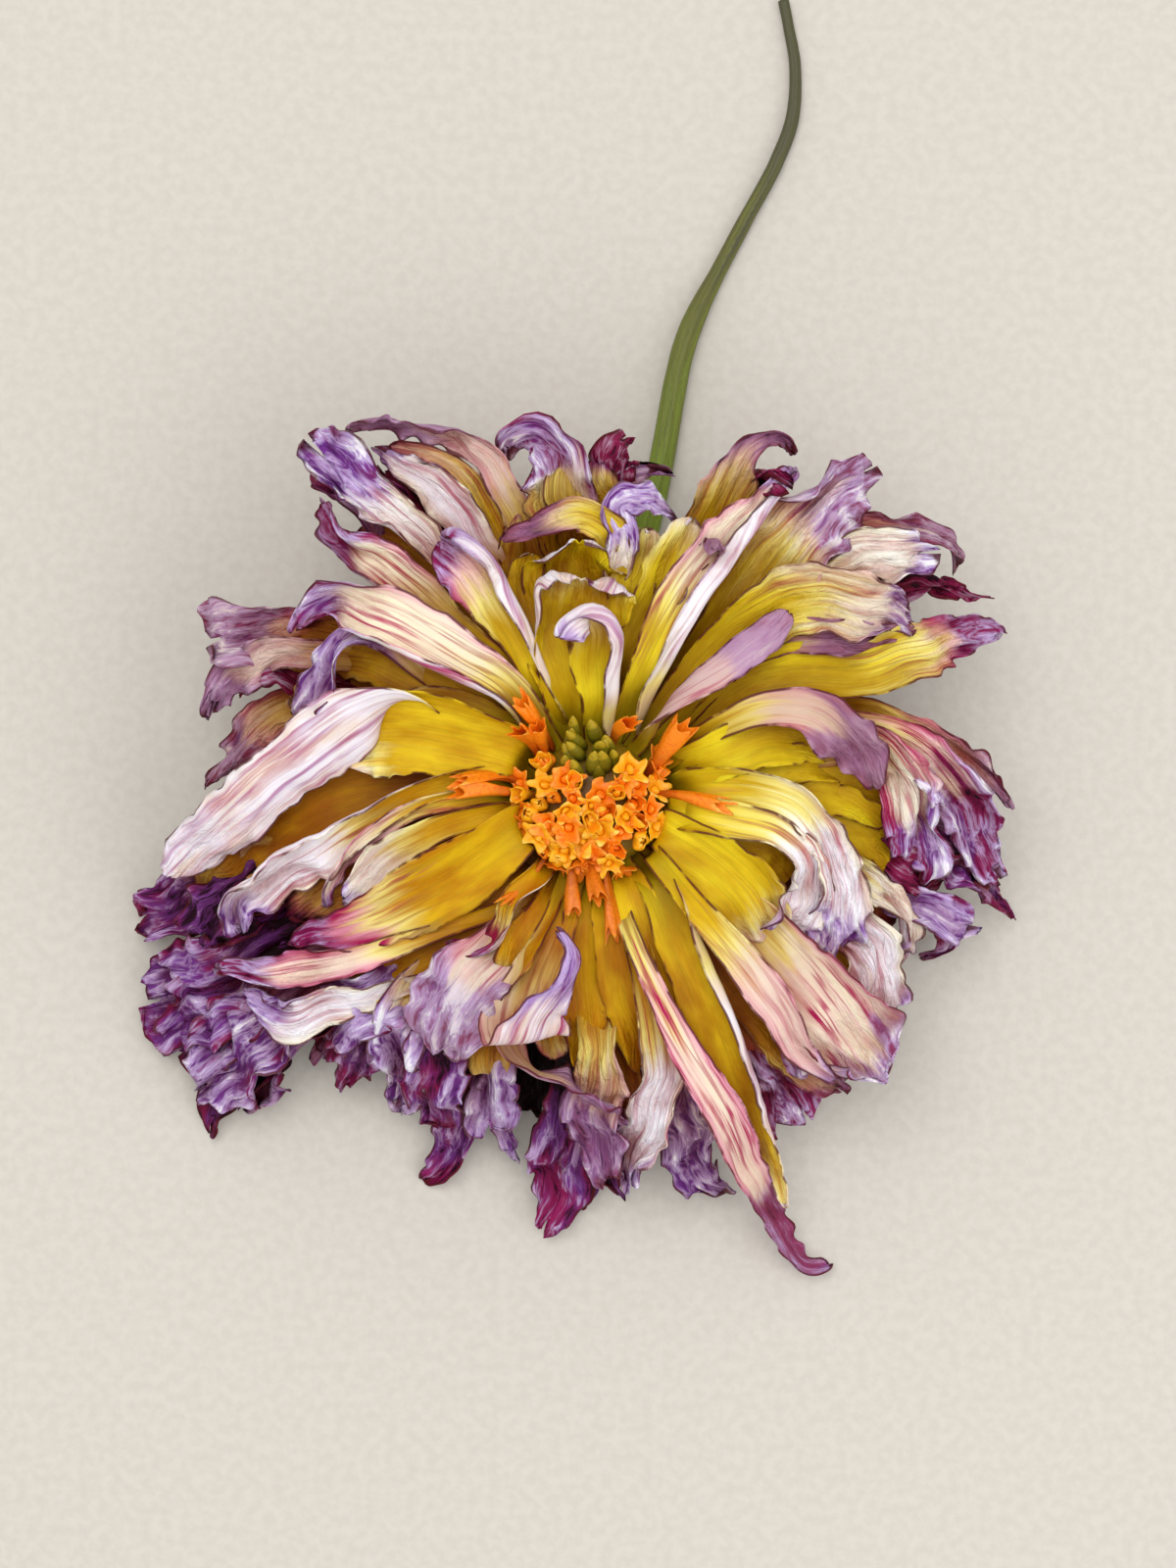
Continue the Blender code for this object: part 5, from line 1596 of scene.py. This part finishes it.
@dataclass
class FloretMould:
    """Makes the florets' forms, each one once."""

    SHOULDER_RISE = 0.4
    CLEFT_RISE = -0.5
    SAME_HEIGHT = 0.01

    sides: int = 20
    wall: float = 0.34
    pin: Profile = ((0, 0.45), (3.6, 0.75), (5, 0.85), (5.8, 0.5), (6.1, 0.1))
    pin_sides: int = 10

    def build(self, kind: FloretKind, material: Material) -> Object:
        """Models one form.

        Args:
            kind: How far it has opened.
            material: Its finish.

        Returns:
            The form, standing on the origin, in millimetres.
        """
        rings, reach, rise = kind.value
        obj = Bench.turned(f"floret_{kind.name.lower()}", rings, self.sides, capped=False)
        top = rings[-1][0]
        self.lobe(obj, (0,), reach[0], rise, top)
        self.lobe(obj, (1, 3), reach[1], rise * self.SHOULDER_RISE, top)
        self.lobe(obj, (2,), reach[2], self.CLEFT_RISE, top)
        Bench.walled(obj, self.wall)
        Bench.rounded(obj)
        obj = Bench.joined(obj.name, [obj, Bench.turned("floret_pin", self.pin, self.pin_sides)])
        Bench.note_place(obj, 0, top + rise)
        obj.data.materials.append(material)
        return obj

    def lobe(self, obj: Object, places: tuple[int, ...], reach: float, rise: float, top: float) -> None:
        """Draws the mouth's points out or in.

        Args:
            obj: The form so far.
            places: Which of each four points of the mouth are drawn.
            reach: How far out they go, as a factor.
            rise: How far up they go.
            top: The mouth's height.
        """
        Bench.pick(obj)
        bpy.ops.object.mode_set(mode="EDIT")
        bpy.ops.mesh.select_all(action="DESELECT")
        bpy.ops.object.mode_set(mode="OBJECT")
        for vertex in obj.data.vertices:
            turn = math.atan2(vertex.co.y, vertex.co.x) / (2 * math.pi) * self.sides
            vertex.select = abs(vertex.co.z - top) < self.SAME_HEIGHT and round(turn) % 4 in places
        bpy.ops.object.mode_set(mode="EDIT")
        bpy.ops.transform.resize(value=(reach, reach, 1), center_override=(0, 0, top))
        bpy.ops.transform.translate(value=(0, 0, rise))
        bpy.ops.object.mode_set(mode="OBJECT")


@dataclass(frozen=True)
class Splay:
    """Florets that splay out of a row: its two ends, how far they lean, and how many they are."""

    start: tuple[float, float]
    end: tuple[float, float]
    lean: float
    count: int


def spiral(
    middle: tuple[float, float], radii: tuple[float, float], count: int
) -> Iterator[tuple[float, float, float]]:
    """Fills an ellipse with places on a golden spiral.

    Args:
        middle: The ellipse's middle.
        radii: Its half width and half height.
        count: How many places.

    Yields:
        Each place's x and y, and its share of the way out.
    """
    for i in range(count):
        share = math.sqrt((i + 0.5) / count)
        turn = i * GOLDEN_ANGLE
        x = middle[0] + radii[0] * share * math.cos(turn)
        y = middle[1] + radii[1] * share * math.sin(turn)
        yield x, y, share


@dataclass
class Disc:
    """The open florets: a crowded middle, hanging ones along the lower edge and splayed ones at the sides."""

    SEED = 5
    CROWD = (FloretKind.OPEN, FloretKind.OPEN, FloretKind.HALF, FloretKind.OPEN, FloretKind.BALL)
    CROWD_LEAN = 34
    CROWD_DEPTH = 1.6
    SPLAY_DEPTH = 0.6
    SPLAY_FLATNESS = 2.2
    TUBE_SHARE = 0.6
    CRUMPLE = 0.75
    CRUMPLE_LENGTH = 1.9
    HEIGHT = 7
    BEND = 1.2
    GRAIN_SHIFT = 90

    middle: tuple[float, float] = (-1.6, -0.4)
    radii: tuple[float, float] = (14.6, 10.6)
    count: int = 50
    base: float = 46.6
    rise: float = 5.2
    dome: float = 15
    clear_middle: tuple[float, float] = (-0.5, 9.4)
    clear_radius: float = 6.4
    splays: tuple[Splay, ...] = (
        Splay((-9, -8.6), (5, -10.6), 70, 8),
        Splay((-14, 6), (-12.5, -3), 58, 3),
        Splay((11, 9), (12.5, 1), 50, 4),
        Splay((-13, 9), (-7.5, 12), 38, 3),
        Splay((3.5, 12.6), (5.5, 12), 30, 1),
    )

    def __post_init__(self) -> None:
        """Models a form of each kind and lays the florets' finishes."""
        self.random = np.random.RandomState(self.SEED)
        finish = {"tip_start": 0.9, "roughness": 0.42}
        self.tones = [PlantFinish(tone.name.lower(), *tone.value, **finish).build() for tone in FloretTone]
        mould = FloretMould()
        self.forms = {kind: mould.build(kind, self.tones[0]) for kind in FloretKind}

    def build(self) -> Object:
        """Plants the florets.

        Returns:
            The cluster.
        """
        planted = self.crowded() + self.splayed()
        for form in self.forms.values():
            bpy.data.objects.remove(form)
        return Bench.finished(Bench.joined("disc_floret_cluster", planted))

    def height(self, x: float, y: float) -> float:
        """The dome's height at a place."""
        return self.base + self.rise * max(0, 1 - (x * x + y * y) / self.dome**2)

    def crowded(self) -> list[Object]:
        """Plants the crowded florets, clear of the closed ones.

        Returns:
            The planted florets, in the first two tones by turns.
        """
        random = self.random
        planted = []
        for x, y, share in spiral(self.middle, self.radii, self.count):
            if math.dist((x, y), self.clear_middle) <= self.clear_radius:
                continue
            lean = self.CROWD_LEAN * share + random.uniform(-9, 9)
            turn = math.degrees(math.atan2(y, x)) + random.uniform(-30, 30)
            form = self.forms[self.CROWD[random.randint(len(self.CROWD))]]
            place = (x, y, self.height(x, y) - self.CROWD_DEPTH)
            tone = self.tones[(len(planted) + 1) % 2]
            planted.append(self.plant(form, tone, place, (lean, turn)))
        return planted

    def splayed(self) -> list[Object]:
        """Plants the splayed florets.

        Returns:
            The planted florets, the lower ones in the last tone and the others in the first.
        """
        random = self.random
        planted = []
        for splay in self.splays:
            for i in range(splay.count):
                share = (i + 0.5) / splay.count
                ends = zip(splay.start, splay.end)
                x, y = (start + (end - start) * share + random.uniform(-0.8, 0.8) for start, end in ends)
                turn = math.degrees(math.atan2(self.SPLAY_FLATNESS * y, x)) + random.uniform(-12, 12)
                form = self.forms[FloretKind.TUBE if random.uniform() < self.TUBE_SHARE else FloretKind.OPEN]
                place = (x, y, self.height(x, y) - self.SPLAY_DEPTH)
                lean = splay.lean + random.uniform(-16, 14)
                tone = self.tones[-1 if y < 0 else 0]
                planted.append(self.plant(form, tone, place, (lean, turn)))
        return planted

    def plant(
        self, form: Object, tone: Material, place: tuple[float, float, float], lean: tuple[float, float]
    ) -> Object:
        """Copies one floret to its place.

        Args:
            form: The form to copy.
            tone: Its finish.
            place: Its foot.
            lean: Degrees from upright, and the azimuth it leans to.

        Returns:
            The planted floret.
        """
        random = self.random
        tilt, heading = (math.radians(angle) for angle in lean)
        out = math.sin(tilt)
        axis = Vector((out * math.cos(heading), out * math.sin(heading), math.cos(tilt)))
        spin = Matrix.Rotation(random.uniform(0, 2 * math.pi), 4, "Z")
        size = random.uniform(1.05, 1.4)
        scale = Matrix.Diagonal((size, size * random.uniform(0.75, 1), random.uniform(0.85, 1.15), 1))
        floret = Bench.copied(form, scale)
        floret.data.materials[0] = tone
        self.crumple(floret.data)
        floret.data.transform(Matrix.Translation(place) @ Bench.leaning(axis) @ spin)
        grain = floret.data.attributes["grain"].data
        shifted = np.empty(len(grain) * 3)
        grain.foreach_get("vector", shifted)
        grain.foreach_set("vector", shifted + random.uniform(0, self.GRAIN_SHIFT))
        return floret

    def crumple(self, mesh: Mesh) -> None:
        """Wilts a floret: draws its lobes out of true and bends it.

        Args:
            mesh: The floret's mesh.
        """
        random = self.random
        points = Bench.points(mesh)
        rise = points[:, 2] / self.HEIGHT
        ripple = Ripple(random.randint(9999))
        slack = eased((rise - 0.35) / 0.5)
        for axis in range(3):
            x = points[:, 0] / self.CRUMPLE_LENGTH + 9 * axis
            y = points[:, 1] / self.CRUMPLE_LENGTH
            points[:, axis] += self.CRUMPLE * slack * ripple.at(x, y)
        for axis in range(2):
            points[:, axis] += random.uniform(-self.BEND, self.BEND) * rise**2
        mesh.vertices.foreach_set("co", points.ravel())


@dataclass
class BudPatch:
    """The florets that are still closed, a dark green patch at the upper edge of the disc."""

    SEED = 8

    middle: tuple[float, float] = (-0.5, 8.6)
    radii: tuple[float, float] = (6.4, 5.4)
    count: int = 15
    base: float = 48.2
    rise: float = 2.6
    rings: Profile = ((0, 0.6), (1.2, 1.5), (3.2, 1.75), (5.2, 1.3), (6.6, 0.6), (7, 0.1))
    sides: int = 10

    def build(self) -> Object:
        """Models a bud and plants its copies.

        Returns:
            The patch.
        """
        random = np.random.RandomState(self.SEED)
        colors = (linear(64, 58, 2), linear(124, 112, 6), linear(176, 150, 20), linear(84, 78, 4))
        form = Bench.turned("floret_bud", self.rings, self.sides)
        Bench.rounded(form)
        Bench.note_place(form, 0, 5)
        form.data.materials.append(PlantFinish("bud_green", *colors, tip_start=0.95).build())
        buds = []
        for x, y, share in spiral(self.middle, self.radii, self.count):
            place = Matrix.Translation((x, y, self.base + self.rise * (1 - share**2)))
            axis = Vector((random.uniform(-0.5, 0.6) + 0.05 * x, random.uniform(0.1, 1.3), 1))
            size = (random.uniform(0.9, 1.2), random.uniform(0.7, 0.9), random.uniform(1, 1.4), 1)
            buds.append(Bench.copied(form, place @ Bench.leaning(axis) @ Matrix.Diagonal(size)))
        bpy.data.objects.remove(form)
        return Bench.finished(Bench.joined("closed_floret_patch", buds))


@dataclass(frozen=True)
class BractKind:
    """A whorl of bracts: radius and height along the middle, full width, count, first azimuth, seed."""

    name: str
    path: Profile
    width: float
    count: int
    first: float
    seed: int


@dataclass
class Calyx:
    """The green cup under the bloom, with thin inner bracts and leafy outer ones that bend back."""

    ROWS = 44
    COLUMNS = 15
    FULL_WIDTH = 0.35
    ROOT_WIDTH = 0.7
    MARGIN = 0.12
    WAVE = 0.5
    CUPPING = 0.9
    KEEL = 0.35
    KEEL_WIDTH = 0.7
    LOWEST = 0.4
    GRAIN_ALONG = 25
    GRAIN_ACROSS = 4

    cup: Profile = (
        (23, 3.6), (23.4, 4.6), (24.4, 7.4), (26.6, 11.4), (29, 13.3), (30.6, 12.9), (31.2, 11),
    )
    cup_sides: int = 40
    cup_rise: tuple[float, float] = (20, 40)
    whorls: tuple[BractKind, ...] = (
        BractKind("outer", ((7, 26.6), (11.5, 26.4), (17, 25), (25, 19.5), (30.5, 10.8)), 9.8, 5, 54, 0),
        BractKind("inner", ((7, 28), (12, 28.4), (16, 28.8), (21, 28.9), (26.4, 27.4)), 11, 7, 22, 20),
    )
    wall: float = 0.55

    def bract(self, kind: BractKind, order: int) -> Object:
        """Shapes one bract.

        Args:
            kind: Its whorl.
            order: Its place in the whorl.

        Returns:
            The bract, in millimetres.
        """
        azimuth = kind.first + 360 / kind.count * order
        seed = kind.seed + order
        path = Path(np.array([around(azimuth, radius, height) for radius, height in kind.path]))
        u = np.linspace(0, 1, self.ROWS)
        v = np.linspace(-1, 1, self.COLUMNS)[None, :]
        frames = (path.points, *Path.carried_frame(path.points))
        line, up, across = (path.read(values, u)[:, None] for values in frames)
        u = u[:, None]
        grown = self.ROOT_WIDTH + (1 - self.ROOT_WIDTH) * eased(u / self.FULL_WIDTH)
        tapered = 1 - np.clip((u - self.FULL_WIDTH) / (1 - self.FULL_WIDTH), 0, 1) ** 2.2
        flat = (0.5 * kind.width * grown * tapered + self.MARGIN) * v
        wave = self.WAVE * Ripple(seed + 300).at(u * 5, flat / 3)
        keel = self.KEEL * np.exp(-((flat / self.KEEL_WIDTH) ** 2))
        lift = wave + self.CUPPING * v**2 * eased(u / 0.3) - keel
        points = line + across * flat[..., None] + up * lift[..., None]
        points[..., 2] = np.maximum(points[..., 2], self.LOWEST)
        share = np.broadcast_to(u, flat.shape)
        place = (share * self.GRAIN_ALONG, flat * self.GRAIN_ACROSS, np.full(flat.shape, 9.7 * seed))
        values = {"grain": np.stack(place, axis=-1), "rise": share}
        obj = Bench.bent_grid(f"{kind.name}_{order}", points, values)
        Bench.walled(obj, self.wall)
        return obj

    def build(self) -> Object:
        """Shapes the cup and its bracts.

        Returns:
            The calyx.
        """
        cup = Bench.turned("calyx_cup", self.cup, self.cup_sides)
        Bench.note_place(cup, *self.cup_rise)
        bracts = [self.bract(kind, order) for kind in self.whorls for order in range(kind.count)]
        piece = Bench.joined("calyx_cup_and_bracts", [cup, *bracts])
        colors = (linear(96, 122, 44), linear(122, 140, 52), linear(140, 120, 60), linear(70, 92, 30))
        finish = PlantFinish("calyx_green", *colors, tip_start=0.9, grain_scale=(0.12, 0.6, 1))
        return Bench.finished(piece, finish.build())


@dataclass
class Stem:
    """The ribbed stem: it leaves the calyx, bends over and lies on the surface up to its cut.

    bend holds x, y, height and radius, and lying holds x, y and radius.
    """

    TWIST = 1.2
    RIB = 0.06
    ROUGHNESS = 0.03
    ROUGHNESS_RUN = 40
    SINK = 0.05
    STRIDE = 4
    GRAIN_ROUND = 2.5

    bend: tuple[tuple[float, float, float, float], ...] = (
        (0, 0, 23.2, 3.6), (0, 0.2, 20.3, 3.2), (0.2, 3.2, 14, 3), (1.2, 10.5, 7.8, 3),
        (3.6, 24, 3.9, 3),
    )
    lying: tuple[tuple[float, float, float], ...] = (
        (8, 45, 3), (15.2, 75.2, 2.85), (20.9, 104.7, 2.65), (24.4, 114, 2.4), (29, 123, 1.8),
        (35.6, 135.5, 1.7), (42.7, 148.8, 1.65), (46.4, 159, 1.55), (47, 171.3, 1.35),
        (45.5, 180.4, 1.25), (44.2, 187, 1.25),
    )
    rows: int = 300
    sides: int = 32
    ribs: int = 7

    def build(self) -> Object:
        """Runs the ribbed tube along its path.

        Returns:
            The stem.
        """
        lying = [(x, y, radius - self.SINK, radius) for x, y, radius in self.lying]
        knots = np.array([*self.bend, *lying])
        path = Path(knots[:, :3])
        normal, side = Path.carried_frame(path.points[::-1])
        u = np.linspace(0, 1, self.rows)
        frames = (path.points, normal[::-1], side[::-1])
        line, up, across = (path.read(values, u)[:, None] for values in frames)
        radius = np.interp(u, path.knot_shares, knots[:, 3])[:, None]
        u = u[:, None]
        turn = np.linspace(0, 2 * math.pi, self.sides + 1)[None, :]
        rough = Ripple(77).at(u * self.ROUGHNESS_RUN, 3 + 2 * np.cos(turn))
        ribbed = self.RIB * np.cos(self.ribs * turn + self.TWIST * u)
        radius = radius * (1 + ribbed + self.ROUGHNESS * rough)
        radius[[0, -1]] = 0
        points = line + up * (radius * np.cos(turn))[..., None] + across * (radius * np.sin(turn))[..., None]
        points[..., 2] = np.maximum(points[..., 2], 0)
        points[:, -1] = points[:, 0]
        obj = Bench.bent_grid("flower_stem", points, {})
        Bench.close_seam(obj)
        self.note_run(obj.data, path)
        colors = (linear(134, 166, 30), linear(100, 100, 36), linear(76, 74, 48), linear(70, 78, 22))
        finish = PlantFinish("stem_ribbed", *colors, tip_start=0.62, grain_scale=(0.1, 1, 1))
        return Bench.finished(obj, finish.build())

    def note_run(self, mesh: Mesh, path: Path) -> None:
        """Notes each vertex's way along the stem and round it.

        Args:
            mesh: The stem's mesh.
            path: The line along its middle.
        """
        points = Bench.points(mesh)
        away = points[:, None] - path.points[None, :: self.STRIDE]
        nearest = np.argmin((away**2).sum(axis=2), axis=1) * self.STRIDE
        out = (points - path.points[nearest]) * self.GRAIN_ROUND
        run = path.shares[nearest]
        Bench.note(mesh, "grain", np.stack([run * path.length, out[:, 0], out[:, 2]], axis=-1))
        Bench.note(mesh, "rise", run)


@dataclass(frozen=True)
class Lamp:
    """One soft lamp that faces the bloom: where it hangs, its side in metres, its watts and its colour."""

    name: str
    place: tuple[float, float, float]
    side: float
    power: float
    color: Color


@dataclass
class Studio:
    """Pale floor, a broad key light from the upper left, a weak fill, a pale sky and the camera above."""

    FLOOR_DEPTH = -0.0004
    AIM_HEIGHT = 0.03

    floor_side: float = 3
    field_height: float = 352
    sensor: float = 36
    sky: Color = (1, 0.99, 0.98)
    sky_strength: float = 0.695
    lamps: tuple[Lamp, ...] = (
        Lamp("key", (-0.36, 0.6, 2.7), 1.6, 36, (1, 0.99, 0.97)),
        Lamp("fill", (0.9, -0.5, 1.2), 1.2, 6.5, (0.98, 0.99, 1)),
    )

    def floor(self) -> Object:
        """Lays the floor with a faint paper grain.

        Returns:
            The floor.
        """
        bpy.ops.object.select_all(action="DESELECT")
        bpy.ops.mesh.primitive_plane_add(size=self.floor_side, location=(0, 0, self.FLOOR_DEPTH))
        floor = bpy.context.active_object
        floor.name = "floor"
        sheet = NodeSheet("floor_paper")
        coordinates = sheet.tree.nodes.new("ShaderNodeTexCoord").outputs["Object"]
        grain = sheet.noise(coordinates, scale=420, detail=4)
        share = sheet.step(grain, low=0.3, high=0.7)
        color = sheet.mix(share, linear(201, 195, 186), linear(207, 202, 193))
        sheet.bump(grain, distance=0.0004, strength=0.25)
        floor.data.materials.append(sheet.finish(color, roughness=0.9))
        return floor

    def hang(self, lamp: Lamp) -> None:
        """Hangs one lamp.

        Args:
            lamp: The lamp.
        """
        data = bpy.data.lights.new(lamp.name, "AREA")
        data.size = lamp.side
        data.energy = lamp.power
        data.color = lamp.color
        obj = bpy.data.objects.new(lamp.name, data)
        bpy.context.scene.collection.objects.link(obj)
        place = Vector(lamp.place)
        target = Vector((BLOOM_X * MM, BLOOM_Y * MM, self.AIM_HEIGHT))
        obj.location = place
        obj.rotation_euler = (target - place).to_track_quat("-Z", "Y").to_euler()

    def light(self) -> None:
        """Hangs the lamps under the sky."""
        for lamp in self.lamps:
            self.hang(lamp)
        world = bpy.data.worlds.new("sky")
        world.use_nodes = True
        background = world.node_tree.nodes["Background"]
        background.inputs["Color"].default_value = (*self.sky, 1)
        background.inputs["Strength"].default_value = self.sky_strength
        bpy.context.scene.world = world

    def camera(self) -> None:
        """Sets the camera over the bloom."""
        data = bpy.data.cameras.new("camera")
        data.sensor_fit = "VERTICAL"
        data.sensor_height = self.sensor
        data.lens = self.sensor * EYE_DISTANCE / self.field_height
        camera = bpy.data.objects.new("camera", data)
        bpy.context.scene.collection.objects.link(camera)
        place = Vector((BLOOM_X + EYE_X, BLOOM_Y + EYE_Y, SEEN_HEIGHT + EYE_DISTANCE))
        camera.location = place * MM
        bpy.context.scene.camera = camera
        bpy.context.scene.view_settings.view_transform = "Standard"

    def build(self) -> None:
        """Sets up the whole studio."""
        self.floor()
        self.light()
        self.camera()


def report(piece: Object, node: str) -> None:
    """Ties a piece to the frame and logs it.

    Args:
        piece: The finished piece.
        node: The CAD node that it stands for.
    """
    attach(piece, "root")
    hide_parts(node)
    LOG.info("%s: %d faces", piece.name, len(piece.data.polygons))


def main() -> None:
    """Builds the bloom, then the studio."""
    logging.basicConfig(level=logging.INFO, format="%(message)s")
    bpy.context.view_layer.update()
    for piece in PetalCrown().build():
        report(piece, "petals")
    report(Receptacle().build(), "petals")
    report(Disc().build(), "disc_florets")
    report(BudPatch().build(), "floret_buds")
    report(Calyx().build(), "calyx")
    report(Stem().build(), "stem")
    Studio().build()


if __name__ == "__main__":
    main()
